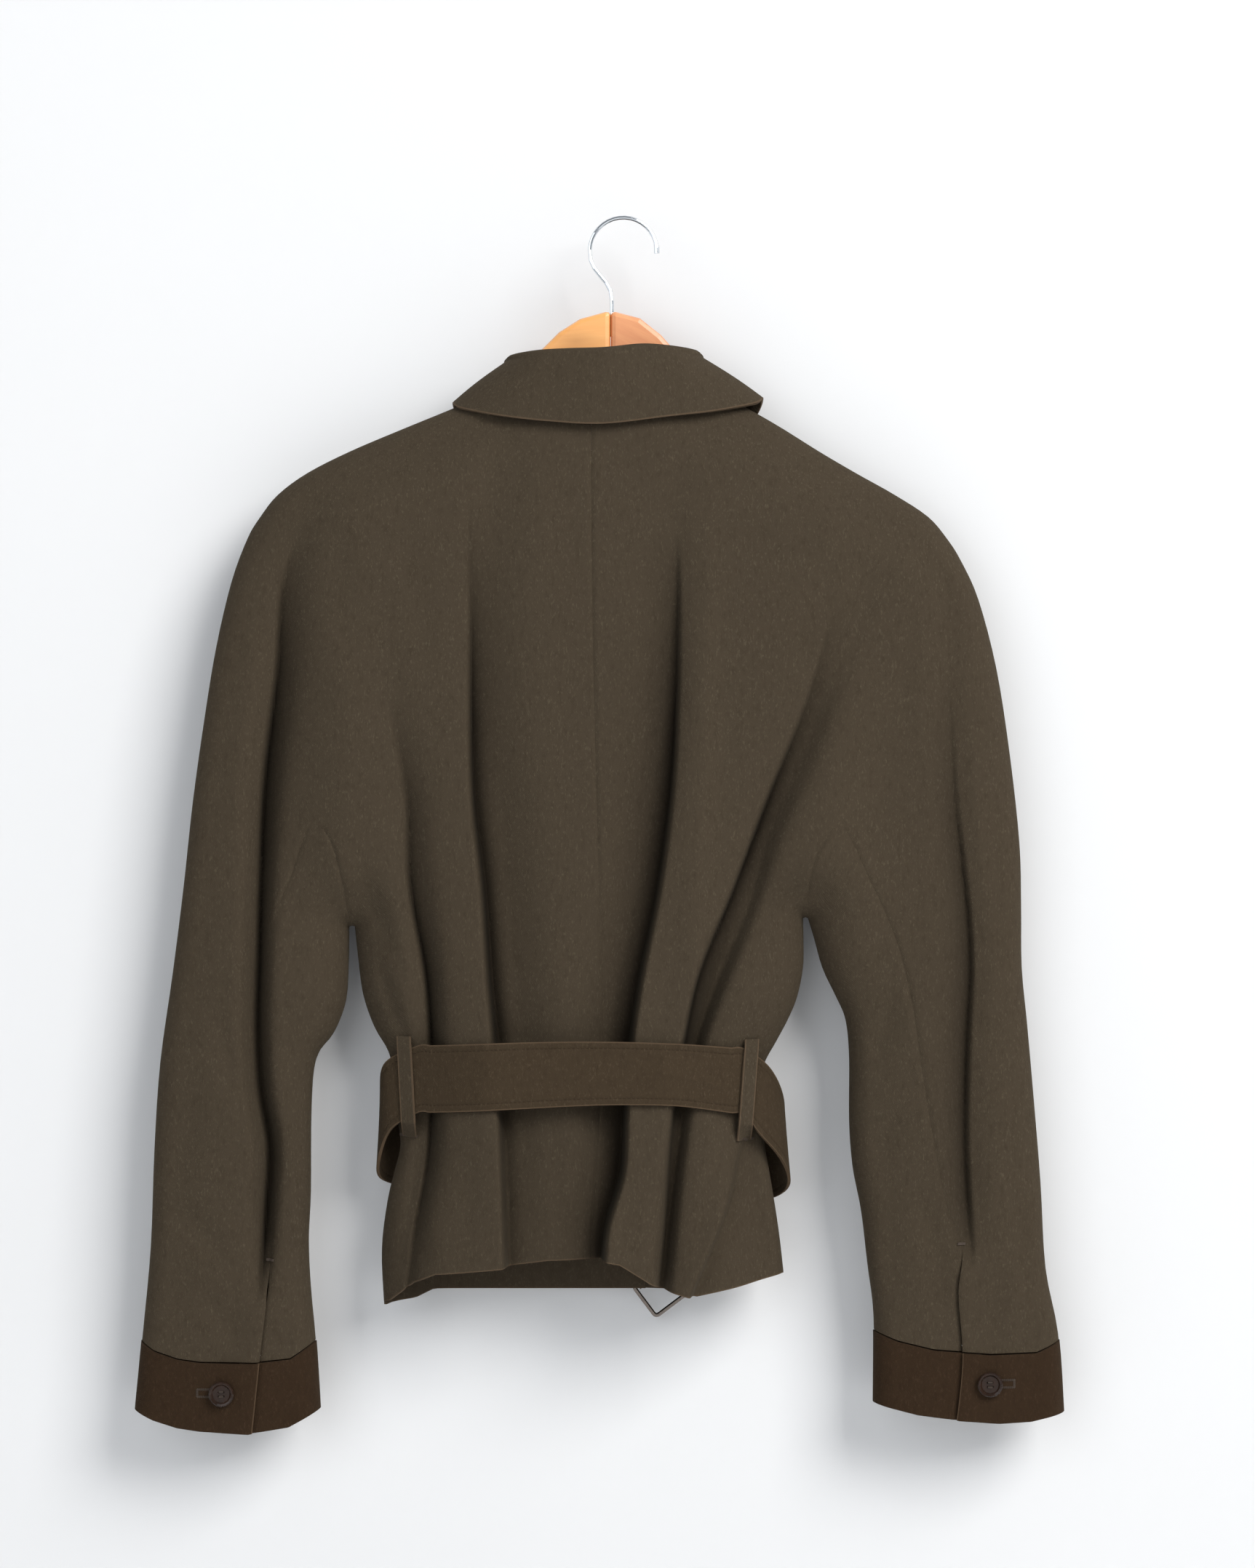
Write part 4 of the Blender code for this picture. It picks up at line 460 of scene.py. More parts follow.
# Tucks are steep on one side and open on the other: a positive side opens to the right.
Tuck = namedtuple("Tuck", "path side depth reach")
TUCKS = [
    Tuck(SLEEVE_VALLEY_LEFT, 1,
         [Row(-230, 0), Row(-282, 5), Row(-347, 8), Row(-413, 9), Row(-479, 8), Row(-660, 8), Row(-720, 9),
          Row(-745, 6), Row(-775, 0)], [Row(-282, 9), Row(-413, 10), Row(-479, 6), Row(-740, 6)]),
    Tuck(SIDE_CREASE_LEFT, 1,
         [Row(-340, 0), Row(-413, 4), Row(-479, 7), Row(-544, 8), Row(-640, 7), Row(-720, 4), Row(-763, 2)],
         [Row(-413, 8), Row(-544, 6)]),
    Tuck(BAND_EDGE_LEFT, 1,
         [Row(-200, 0), Row(-260, 3), Row(-347, 8), Row(-413, 10), Row(-479, 11), Row(-587, 10), Row(-640, 6),
          Row(-744, 4)], [Row(-282, 11), Row(-413, 10), Row(-544, 9)]),
    Tuck(BAND_EDGE_RIGHT, -1,
         [Row(-225, 0), Row(-282, 5), Row(-347, 8), Row(-413, 9), Row(-479, 10), Row(-587, 10), Row(-720, 11),
          Row(-745, 10)], [Row(-282, 11), Row(-413, 15), Row(-544, 13), Row(-676, 17)]),
    Tuck(LONG_EDGE_RIGHT, 1,
         [Row(-270, 0), Row(-347, 4), Row(-413, 8), Row(-479, 9), Row(-544, 9), Row(-640, 7), Row(-762, 5)],
         [Row(-347, 13), Row(-413, 10), Row(-544, 11), Row(-640, 7)]),
    Tuck(SLEEVE_VALLEY_RIGHT, -1,
         [Row(-320, 0), Row(-413, 3), Row(-479, 5), Row(-661, 6), Row(-714, 5), Row(-750, 0)],
         [Row(-413, 10), Row(-479, 9)]),
]
TUCK_LIP = 2.0
# Painted fold shade: full from this tuck depth on, and spread a little wider than the tuck's open side.
FULL_SHADE_DEPTH = 8.5
SHADE_REACH = 1.05


def fold_height(x, z):
    """What the long folds add to the back's height."""
    height = np.zeros_like(x)
    for fold in TROUGHS:
        aside = x - level(fold.path, z)
        width = np.where(aside < 0, level(fold.left, z), level(fold.right, z))
        height = height - level(fold.depth, z) * np.exp(-(aside / width) ** 2)
    for step in STEPS:
        aside = (x - level(step.path, z)) * step.side
        share = 0.5 * (1 + np.tanh(aside / STEP_WIDTH))
        up = level(step.rise, z) * share * np.exp(-(np.maximum(aside, 0) / step.up_fade) ** 2)
        down = level(step.drop, z) * (1 - share) * np.exp(-(np.minimum(aside, 0) / step.down_fade) ** 2)
        height = height + up - down
    for tuck in TUCKS:
        aside = (x - level(tuck.path, z)) * tuck.side
        open_side = np.exp(-np.maximum(aside, 0) / level(tuck.reach, z))
        lip_side = np.exp(-(np.minimum(aside, 0) / TUCK_LIP) ** 2)
        height = height - level(tuck.depth, z) * open_side * lip_side
    return height


def painted_fold_shade(x, z):
    """How deep in a tuck each place of the back lies, from 0 to 1, as a share of painted shade. Little light
    gets in there.
    """
    deepest = np.zeros_like(x)
    for tuck in TUCKS:
        aside = (x - level(tuck.path, z)) * tuck.side
        open_side = np.maximum(aside, 0) / (level(tuck.reach, z) * SHADE_REACH)
        near = np.exp(-open_side - (np.minimum(aside, 0) / TUCK_LIP) ** 2)
        deepest = np.maximum(deepest, near * np.clip(level(tuck.depth, z) / FULL_SHADE_DEPTH, 0, 1))
    return deepest


print("long folds:", len(TROUGHS), "folded bands:", len(STEPS), "tucks:", len(TUCKS))

# %% [markdown]
# ## Small creases
# Between the long folds the wool has softer marks: slack at the shoulder points, drag lines from the
# underarm, and cross creases above the cuffs. They could come from noise, but noise has no direction.
# A table with a row for each crease, from one end to the other, lets each be as long and deep as it is.

# %% Creases given one by one
Crease = namedtuple("Crease", "x1 z1 x2 z2 depth width")
CREASE_FULL = 0.22
CREASE_FADE = 0.2
CREASES = {
    "back": [
        Crease(-205, -215, -190, -330, 1.6, 11), Crease(-150, -230, -140, -340, 1.3, 12),
        Crease(150, -235, 120, -330, 1.5, 11), Crease(205, -260, 196, -380, 1.4, 10),
        Crease(-62, -150, -58, -250, -1.0, 13), Crease(8, -160, 14, -300, 0.9, 14),
        Crease(-190, -450, -150, -560, 1.3, 8), Crease(-178, -520, -150, -600, 1.5, 6),
        Crease(118, -470, 90, -560, 1.3, 7), Crease(-112, -600, -108, -735, 1.0, 9),
        Crease(-50, -600, -46, -730, 1.0, 8), Crease(5, -650, 0, -735, 0.9, 6),
        Crease(70, -655, 48, -750, 1.4, 7), Crease(-150, -690, -135, -760, 1.4, 7),
        Crease(-290, -560, -272, -640, 1.5, 8), Crease(-320, -700, -280, -745, 1.6, 9),
        Crease(-300, -620, -320, -700, 1.1, 9), Crease(-232, -600, -226, -690, 2.0, 6),
        Crease(-238, -700, -229, -790, 1.8, 6), Crease(-300, -765, -272, -800, 1.2, 7),
        Crease(196, -560, 176, -600, 1.8, 7), Crease(200, -640, 176, -668, 1.4, 7),
        Crease(214, -690, 228, -790, 2.2, 9), Crease(190, -720, 184, -790, 1.2, 7),
        Crease(262, -560, 258, -680, 1.2, 9), Crease(280, -690, 292, -780, 1.3, 8),
        Crease(268, -740, 262, -800, 1.3, 7), Crease(262, -420, 266, -520, 1.1, 9),
    ],
    "front": [
        Crease(-150, -230, -120, -420, 2.0, 16), Crease(115, -230, 90, -420, 2.0, 16),
        Crease(-110, -470, -95, -620, 2.4, 14), Crease(70, -470, 60, -620, 2.4, 14),
        Crease(-250, -300, -262, -520, 2.4, 14), Crease(222, -300, 236, -520, 2.4, 14),
        Crease(-60, -640, -70, -760, 2.2, 12), Crease(30, -640, 45, -760, 2.2, 12),
        Crease(-300, -600, -268, -640, 1.6, 9), Crease(262, -620, 230, -660, 1.6, 9),
        Crease(-310, -740, -270, -765, 1.6, 8), Crease(280, -740, 240, -762, 1.6, 8),
    ],
}


def beside(first, last, x, z):
    """How far along the line from first to last a place is, as a share, and how far aside."""
    run = Point(last.x - first.x, last.z - first.z)
    share = ((x - first.x) * run.x + (z - first.z) * run.z) / (run.x ** 2 + run.z ** 2)
    return share, ((x - first.x) * run.z - (z - first.z) * run.x) / math.hypot(*run)


def crease_height(x, z, face):
    """What the small creases take away."""
    height = np.zeros_like(x)
    for crease in CREASES[face]:
        share, aside = beside(Point(crease.x1, crease.z1), Point(crease.x2, crease.z2), x, z)
        fade = np.exp(-(np.maximum(np.abs(share - 0.5) - CREASE_FULL, 0) / CREASE_FADE) ** 2)
        height = height - crease.depth * fade * np.exp(-(aside / crease.width) ** 2)
    return height


print("small creases:", sum(len(rows) for rows in CREASES.values()))

# %% The cloth's surface
BODY_FILL = {"back": [Row(-118, 24), Row(-160, 29), Row(-250, 33), Row(-435, 34), Row(-560, 36),
                      Row(-620, 37), Row(-680, 42), Row(-770, 46)],
             "front": [Row(-118, 16), Row(-180, 21), Row(-300, 24), Row(-600, 23), Row(-770, 25)]}
SLEEVE_FILL = {"back": [Row(-250, 27), Row(-435, 24), Row(-600, 23), Row(-740, 21), Row(-800, 19)],
               "front": [Row(-250, 19), Row(-435, 17), Row(-800, 16)]}
SLEEVE_BLEND = {"left": (-190.0, -240.0), "right": (140.0, 190.0)}
SIGN = {"back": -1.0, "front": 1.0}
SEAM_DIP = 0.9
SEAM_WIDTH = 1.6
FAR = 1000.0
SOFT_REACH = 10.0
FINE_STEP = 0.002
WIDE_STEP = 2.0
STEP_BAND = (5.0, 16.0)


def seam_dip(x, z, face):
    """Cloth sinks a little where two panels are sewn together."""
    near = []
    for side in SIDES:
        above, below = z > UNDERARM_TOP - 1, z < FORK_Z[side]
        near.append(np.where(above, FAR, x - level(SLEEVE_SEAM[side], z)))
        near.append(np.where(above | below, FAR, x - level(BODY_SEAM[side], z)))
    if face == "back":
        near.append(x - level(CENTRE_BACK, z))
    return SEAM_DIP * sum(np.exp(-(away / SEAM_WIDTH) ** 2) for away in near)


def cloth_height(x, z, face):
    """The cloth's distance from the middle plane, on the back or the front."""
    depth = edge_distance(x, z)
    part = np.clip(depth / EDGE_RADIUS, 0, 1)
    rim = EDGE_RADIUS * np.sqrt(1 - (1 - part) ** 2)
    blends = [smooth_step(*SLEEVE_BLEND[side], x) for side in SIDES]
    sleeve = np.where(x < CENTRE, blends[0], blends[1])
    fill = level(BODY_FILL[face], z) * (1 - sleeve) + level(SLEEVE_FILL[face], z) * sleeve
    height = rim + (fill - EDGE_RADIUS) * (1 - np.exp(-(depth / FILL_REACH) ** 2))
    inside = 1 - np.exp(-(depth / SOFT_REACH) ** 2)
    soft = crease_height(x, z, face) - seam_dip(x, z, face)
    if face == "back":
        soft = soft + fold_height(x, z)
    return height + soft * inside


def cloth_surface(x, z, face, lift=None):
    """Points on the cloth, raised by lift along the way the cloth faces."""
    height = cloth_height(x, z, face)
    points = np.stack([x, SIGN[face] * np.maximum(height, 0.0), z], axis=-1)
    if lift is None:
        return points
    step = FINE_STEP + WIDE_STEP * smooth_step(*STEP_BAND, edge_distance(x, z))
    slope_x = (cloth_height(x + step, z, face) - cloth_height(x - step, z, face)) / (2 * step)
    slope_z = (cloth_height(x, z + step, face) - cloth_height(x, z - step, face)) / (2 * step)
    outward = np.stack([-slope_x, np.full_like(x, SIGN[face]), -slope_z], axis=-1)
    outward /= np.linalg.norm(outward, axis=-1, keepdims=True)
    return points + outward * np.asarray(lift)[..., None]


# %% [markdown]
# ## Sewing a panel from grids
# A panel is cut with its sleeve half in one, round a pointed opening under the arm. It could be one grid
# with a hole, but rows would then run crooked. Grids that meet edge to edge and are merged keep the rows
# straight. Each grid starts as create_grid, and its points move to the cloth's surface.


# %% Grids that become cloth
NO_EDGE = 50.0
MERGE_DISTANCE = 0.00002
SHARP_ANGLE = math.radians(50)


def spread(first, last, share):
    return first * (1 - share) + last * share


def made_object(name, work, material):
    """An object in the scene, from a finished bmesh."""
    mesh = bpy.data.meshes.new(name)
    work.to_mesh(mesh)
    work.free()
    mesh.shade_smooth()
    mesh.set_sharp_from_angle(angle=SHARP_ANGLE)
    mesh.materials.append(material)
    made = bpy.data.objects.new(name, mesh)
    bpy.context.collection.objects.link(made)
    return made


class Cloth:
    """A cloth piece that is sewn from grids."""

    # folded is how much painted fold shade the piece's back side takes, 1 or 0.
    def __init__(self, name, folded=0.0):
        self.name, self.folded = name, folded
        self.work = bmesh.new()
        self.layer = self.work.verts.layers.float_vector.new("cloth")
        # The deep layer carries the painted fold shade to the wool's colour.
        self.deep = self.work.verts.layers.float.new("deep")

    def grid(self, columns, rows, place, edge=None):
        """Add a grid. place turns shares across and down into points, edge says how far the cut edge is."""
        s, t = np.meshgrid(np.linspace(0, 1, columns + 1), np.linspace(0, 1, rows + 1))
        points = place(s, t)
        steps = np.linalg.norm(np.diff(points, axis=1), axis=2)
        across = np.concatenate([np.zeros((rows + 1, 1)), np.cumsum(steps, axis=1)], axis=1)
        down = np.linalg.norm(np.diff(points, axis=0), axis=2)
        down = np.concatenate([np.zeros((1, columns + 1)), np.cumsum(down, axis=0)], axis=0)
        away = np.full_like(s, NO_EDGE) if edge is None else edge(s, t, points)
        # dark is the painted fold shade of each point: tucks on the back make it darker.
        dark = np.where(points[..., 1] < 0, painted_fold_shade(points[..., 0], points[..., 2]), 0.0) * self.folded
        made = bmesh.ops.create_grid(self.work, x_segments=columns, y_segments=rows, size=1.0)
        for vert in made["verts"]:
            i = round((vert.co.x + 1) / 2 * columns)
            j = round((1 - vert.co.y) / 2 * rows)
            vert[self.layer] = Vector((across[j, i], down[j, i] - points[0, 0, 2], away[j, i])) * MM
            vert[self.deep] = dark[j, i]
            vert.co = Vector(points[j, i]) * MM
        return made["verts"]

    def finish(self, slot, outward, wall=WALL):
        """Merge the grids, face them outwards, give them their thickness and make the object."""
        bmesh.ops.remove_doubles(self.work, verts=self.work.verts, dist=MERGE_DISTANCE)
        bmesh.ops.recalc_face_normals(self.work, faces=self.work.faces)
        facing = sum(face.normal.dot(outward(face.calc_center_median())) for face in self.work.faces)
        if facing < 0:
            bmesh.ops.reverse_faces(self.work, faces=self.work.faces)
        self.work.normal_update()
        bmesh.ops.solidify(self.work, geom=self.work.faces[:], thickness=wall * MM)
        piece = made_object(self.name, self.work, WOOLS[slot])
        print(self.name, len(piece.data.polygons), "faces")
        return piece


BACKWARD, FORWARD = Vector((0, -1, 0)), Vector((0, 1, 0))


def along(points, x):
    """The height of an edge at x."""
    return np.interp(x, [point.x for point in points], [point.z for point in points])


def line_x(line, z):
    """The x of a traced line at the heights z."""
    order = np.argsort(line[:, 1])
    return np.interp(z, line[order, 1], line[order, 0])


def outer_x(side, z):
    """The sleeve's outer edge at the heights z, level above the shoulder's corner."""
    return line_x(OUTLINE[side][OUTLINE[side][:, 1] <= CORNER_Z[side] + 0.01], z)


def slit_share(side, x, z):
    """1 along the sleeve's open slit, and 0 away from it."""
    open_share = smooth_step(SLIT_TOP[side], SLIT_TOP[side] - SLIT_FADE, z)
    return open_share * smooth_step(*SLIT_NEAR, np.abs(x - level(SLEEVE_SEAM[side], z)))


def off_middle(points, face):
    """The points of a half, each kept on its own side of the middle plane."""
    flat = np.abs(points[..., 1]) < SEAM_GAP / 2
    points[..., 1] = np.where(flat, SIGN[face] * SEAM_GAP / 2, points[..., 1])
    return points


def top_height(x, side, face):
    """The neck seam between the neck points, and the shoulder beyond them."""
    line = OUTLINE[side]
    order = np.argsort(line[:, 0])
    shoulder = np.interp(x, line[order, 0], line[order, 1])
    neck = NECK[face]
    return np.where((x >= neck[0].x) & (x <= neck[-1].x), along(neck, x), shoulder)


# %% Panels of the body
EDGE_EASE = 1.6
FORK_EASE = 1.5
COLUMNS = {"back": (168, 6, 84), "front": (50, 4, 40)}
ROWS = {"back": (80, 20, 72), "front": (50, 14, 46)}


def cut_edge(line):
    """The distance from each point to a hem or an opening."""
    return lambda s, t, points: np.abs(points[..., 2] - along(line, points[..., 0]))


def panel(name, side, face):
    """A back or front half in one with its half of the sleeve."""
    away = 1.0 if side == "left" else -1.0
    # The back halves take the painted fold shade, the front halves none.
    fork, cloth = FORK_Z[side], Cloth(name, 1.0 if face == "back" else 0.0)
    lap = LAP_LIFT if (side, face) == ("right", "front") else 0.0
    body_columns, bridge_columns, sleeve_columns = COLUMNS[face]
    upper_rows, fork_rows, lower_rows = ROWS[face]

    def centre(z):
        if face == "back":
            return level(CENTRE_BACK, z) - away * SEAM_GAP / 2
        return np.full_like(z, CENTRE + away * FRONT_LAP)

    def arm(z):
        return level(ARM_LINE[side], z)

    def sleeve_start(z):
        return level(SLEEVE_SEAM[side], z) - away * SEAM_GAP / 2

    def body_end(z):
        seam, rim = level(BODY_SEAM[side], z), line_x(trace(BODY_SIDE[side]), np.minimum(z, fork))
        return np.where(z > fork + 0.01, seam, rim) + away * SEAM_GAP / 2

    def surface(x, z, raised=0.0):
        overlap = lap * smooth_step(*LAP_NEAR, np.abs(x - CENTRE)) + raised
        points = cloth_surface(x, z, face, overlap) if np.any(overlap) else cloth_surface(x, z, face)
        return off_middle(points, face)

    def hang(first, last, ease):
        """A grid from the neck and shoulder down to the underarm level, between two lines."""
        def place(s, t):
            share = 1 - (1 - s) ** ease
            top = np.full_like(s, -180.0)
            for _ in range(14):
                top = top_height(spread(first(top), last(top), share), side, face)
            z = spread(top, UNDERARM_TOP, t ** EDGE_EASE)
            return surface(spread(first(z), last(z), share), z)
        return place

    def drop(first, last, ease, ends, low):
        """A grid below the underarm level: to the fork, or from the fork to the lower edge."""
        def place(s, t):
            share = 1 - (1 - s) ** ease
            if not low:
                z = spread(UNDERARM_TOP, fork, 1 - (1 - t) ** FORK_EASE)
            else:
                bottom = np.full_like(s, -770.0)
                for _ in range(6):
                    bottom = ends(spread(first(bottom), last(bottom), share))
                z = spread(fork, bottom, t)
            x = spread(first(z), last(z), share)
            slit = SLIT_LIFT * slit_share(side, x, z) if face == "back" else 0.0 * x
            return surface(x, z, slit)
        return place

    apex = float(sleeve_start(np.array(UNDERARM_TOP)) - arm(np.array(UNDERARM_TOP)))
    inner_sleeve = lambda z: arm(z) + apex
    outer_sleeve = lambda z: outer_x(side, z)
    body_ends = lambda x: along(HEM[face], x)
    sleeve_ends = lambda x: along(CUFF_TOP[side], x) + CUFF_GAP
    cloth.grid(body_columns, upper_rows, hang(centre, arm, 1.0))
    cloth.grid(bridge_columns, upper_rows, hang(arm, inner_sleeve, 1.0))
    cloth.grid(sleeve_columns, upper_rows, hang(inner_sleeve, outer_sleeve, EDGE_EASE))
    cloth.grid(body_columns, fork_rows, drop(centre, body_end, 1.0, body_ends, False))
    cloth.grid(sleeve_columns, fork_rows, drop(sleeve_start, outer_sleeve, EDGE_EASE, sleeve_ends, False))
    cloth.grid(body_columns, lower_rows, drop(centre, body_end, 1.0, body_ends, True), cut_edge(HEM[face]))
    cloth.grid(sleeve_columns, lower_rows, drop(sleeve_start, outer_sleeve, EDGE_EASE, sleeve_ends, True))
    return cloth.finish("wool", lambda point: BACKWARD if face == "back" else FORWARD)


PANELS = {}
for side in SIDES:
    PANELS["back_" + side] = panel("cloth_back_" + side, side, "back")
    PANELS["front_" + side] = panel("cloth_front_" + side, side, "front")


# %% [markdown]
# ## The panel under the arm
# A pointed panel fills in under each arm, from a point on the back, round the sleeve's inner side, to a
# point on the front. It could be two flat pieces. Here it is one piece of four grids that meet along the
# sleeve's inner edge, because the real panel has no seam there.


# %% Underarm panels
SLIT_SINK = -0.9
UNDERARM_GRID = (26, 24, 84)


def underarm(side):
    """The pointed panel under one arm."""
    away = 1.0 if side == "left" else -1.0
    # The panel takes the painted fold shade where it faces backwards.
    fork, cloth = FORK_Z[side], Cloth("cloth_underarm_" + side, 1.0)
    columns, fork_rows, lower_rows = UNDERARM_GRID

    def inner(z):
        seam, rim = level(BODY_SEAM[side], z), line_x(trace(SLEEVE_INNER[side]), np.minimum(z, fork))
        return np.where(z > fork + 0.01, seam, rim) - away * SEAM_GAP / 2

    def outer(z):
        return level(SLEEVE_SEAM[side], z) + away * SEAM_GAP / 2

    def half(face, low):
        def place(s, t):
            share = 1 - (1 - s) ** EDGE_EASE
            if low:
                bottom = np.full_like(s, -800.0)
                for _ in range(6):
                    bottom = along(CUFF_TOP[side], spread(outer(bottom), inner(bottom), share)) + CUFF_GAP
                z = spread(fork, bottom, t)
            else:
                z = spread(UNDERARM_TOP - SEAM_GAP, fork, 1 - (1 - t) ** FORK_EASE)
            x = spread(outer(z), inner(z), share)
            slit = SLIT_SINK * slit_share(side, x, z) if face == "back" else 0.0 * x
            points = off_middle(cloth_surface(x, z, face, slit), face)
            points[(slice(None) if low else -1), -1, 1] = 0.0
            return points
        return place

    for face in ("back", "front"):
        cloth.grid(columns, fork_rows, half(face, False))
        cloth.grid(columns, lower_rows, half(face, True))
    return cloth.finish("wool", lambda point: Vector((0, point.y, 0)))


for side in SIDES:
    PANELS["underarm_" + side] = underarm(side)

# %% [markdown]
# ## The cuffs
# Each sleeve ends in a plain band whose two ends lap over the slit and button together. A band could be a
# scaled ring, but the sleeve's end is no circle. So the band follows the sleeve's own surface a little
# further out, and its upper end rises over the lower one.


# %% Cuffs
CUFF_ROWS = 20
CUFF_COLUMNS = (44, 70, 36, 10)
CUFF_LAP_FADE = 30.0
CUFF_LAP_Z = -830.0


def cuff(side):
    """A band all round the sleeve's end."""
    outward = -1.0 if side == "left" else 1.0
    cloth = Cloth("cloth_cuff_" + side)

    def seam(z):
        return level(SLEEVE_SEAM[side], z)

    def outer(z):
        return outer_x(side, z)

    def inner(z):
        return line_x(trace(SLEEVE_INNER[side]), z)

    def under(z):
        return seam(z) + outward * CUFF_LAP

    lap_x = float(seam(np.array(CUFF_LAP_Z)))

    def run(first, last, face, ease, lift):
        def place(s, t):
            share, z = ease(s), np.full_like(s, CUFF_LAP_Z)
            for _ in range(8):
                x = spread(first(z), last(z), share)
                z = spread(along(CUFF_TOP[side], x), along(CUFF_BOTTOM[side], x), t)
            raised = CUFF_LIFT + lift * np.exp(-((x - lap_x) / CUFF_LAP_FADE) ** 2)
            points = cloth_surface(x, z, face, raised)
            points[..., 1] = np.where(np.abs(points[..., 1]) < 0.3, 0.0, points[..., 1])
            return points
        return place

    def lap_edge(s, t, points):
        return np.abs(points[..., 0] - seam(points[..., 2]))

    upper, round_front, lower, lap = CUFF_COLUMNS
    rising = run(seam, outer, "back", lambda s: 1 - (1 - s) ** EDGE_EASE, CUFF_LAP_LIFT)
    cloth.grid(upper, CUFF_ROWS, rising, lap_edge)
    cloth.grid(round_front, CUFF_ROWS, run(outer, inner, "front", lambda s: (1 - np.cos(np.pi * s)) / 2, 0.0))
    cloth.grid(lower, CUFF_ROWS, run(inner, seam, "back", lambda s: s ** EDGE_EASE, 0.0))
    cloth.grid(lap, CUFF_ROWS, run(seam, under, "back", lambda s: s, 0.0))
    return cloth.finish("cuff_wool", lambda point: Vector((0, point.y, 0)))


for side in SIDES:
    PANELS["cuff_" + side] = cuff(side)

# %% [markdown]
# ## The collar
# The collar stands up at the neck, rolls over and falls outside, so it shows the upper side of its fall.
# It could be a loft between two curves. Three lines are named instead, the foot, the crest of the roll and
# the falling edge, since those are the lines that a cutter marks, and the roll between them is a half ring.

# %% Collar
Station = namedtuple("Station", "base fold edge")
COLLAR_WALL = 2.6
COLLAR_ROLL = 3.2
COLLAR_RIGHT_REACH = 6.0
COLLAR_RIGHT_RISE = 3.4
COLLAR_BULGE = 1.6
COLLAR = [Station((-21, 22.5, -168), (-26, 25, -158), (-61, 32, -205)),
          Station((-42, 21, -156.5), (-45, 24.5, -145), (-80, 31, -190)),
          Station((-62, 17, -135.5), (-64, 23, -122), (-99, 27, -166)),
          Station((-76, 8, -117.5), (-77, 10, -102), (-117, 15, -142)),
          Station((-77, 1, -117), (-77, 1, -99), (-121, 2, -131)),
          Station((-74, -8, -117.5), (-72, -9, -98), (-115, -14, -136)),
          Station((-60, -17.5, -120), (-56, -21, -97), (-86, -28, -143)),
          Station((-38, -21.5, -121.2), (-37, -25.5, -96.5), (-52, -33, -147.5)),
          Station((-14, -22.5, -122), (-14, -27, -96), (-14, -35, -149.5))]


def mirrored(station):
    """The same station on the right, which sits a little higher and reaches a little further."""
    move = [np.array([2 * CENTRE, 0.0, COLLAR_RIGHT_RISE]) for _ in station]
    move[2][0] += COLLAR_RIGHT_REACH
    return [np.array(point, float) * (-1, 1, 1) + shift for point, shift in zip(station, move)]


COLLAR_LINES = np.array([[np.array(point, float) for point in station] for station in COLLAR]
                        + [mirrored(station) for station in COLLAR[-2::-1]])
STAND_SHARE, ROLL_SHARE = 0.2, 0.36
COLLAR_FALL = 62.0
COLLAR_GRID = (220, 56)
UP = np.array([0.0, 0.0, 1.0])


def collar_place(s, t):
    """A point of the collar's shown side: s runs round the neck, t from its foot to its edge."""
    base, fold, edge = lines_at(COLLAR_LINES, s)
    out = (edge - base) * (1, 1, 0)
    out /= np.linalg.norm(out, axis=-1, keepdims=True)
    top, radius, t = fold - UP * COLLAR_ROLL, COLLAR_ROLL + COLLAR_WALL / 2, t[..., None]
    turn = np.pi * np.clip((t - STAND_SHARE) / (ROLL_SHARE - STAND_SHARE), 0, 1)
    fall = np.clip((t - ROLL_SHARE) / (1 - ROLL_SHARE), 0, 1)
    rising = spread(base, top, t / STAND_SHARE) - out * COLLAR_WALL / 2
    rolling = top + out * COLLAR_ROLL + (UP * np.sin(turn) - out * np.cos(turn)) * radius
    falling = spread(top + out * (COLLAR_ROLL + radius), edge + out * COLLAR_WALL / 2, fall)
    falling = falling + out * COLLAR_BULGE * np.sin(np.pi * fall)
    return np.where(t < STAND_SHARE, rising, np.where(t < ROLL_SHARE, rolling, falling))


def collar():
    """One strip, from the foot of its stand over the roll to its edge."""
    cloth = Cloth("cloth_collar")
    cloth.grid(*COLLAR_GRID, collar_place, lambda s, t, points: (1 - t) * COLLAR_FALL)
    neck = Vector((CENTRE, 0, 0)) * MM
    return cloth.finish("wool", lambda point: (point - neck) * Vector((1, 1, 0)), COLLAR_WALL)


PANELS["collar"] = collar()

# %% [markdown]
# ## The belt
# The belt lies taut across the folds of the back, turns down round each side and hangs free at the front.
# It could be bent from one flat strip by a curve. A strip between two named edge lines also turns and
# dips as it hangs. Across the back it follows the highest folds only, as a rope over posts would.

# %% The belt's course
Edge = namedtuple("Edge", "x y z")
Strap = namedtuple("Strap", "top bottom")
BELT_WALL = 2.2
BELT_GAP = 1.0
BELT_WIDTH = 48.0
BELT_BACK_TOP = [Row(-148, -589.5), Row(-83, -586), Row(-25, -585), Row(36, -586.6), Row(88, -591.5)]
BELT_BACK_BOTTOM = [Row(-148, -637.2), Row(-83, -633), Row(3, -629.5), Row(30, -630), Row(88, -638.5)]
BELT_LEFT = [Strap(Edge(-169.5, -15, -602), Edge(-166, -19, -650)),
             Strap(Edge(-174, -2, -622), Edge(-175, -7, -670)),
             Strap(Edge(-171, 14, -638), Edge(-176, 10, -686)),
             Strap(Edge(-155, 25, -646), Edge(-163, 24, -694)),
             Strap(Edge(-134, 30.5, -650), Edge(-145, 30.5, -699))]
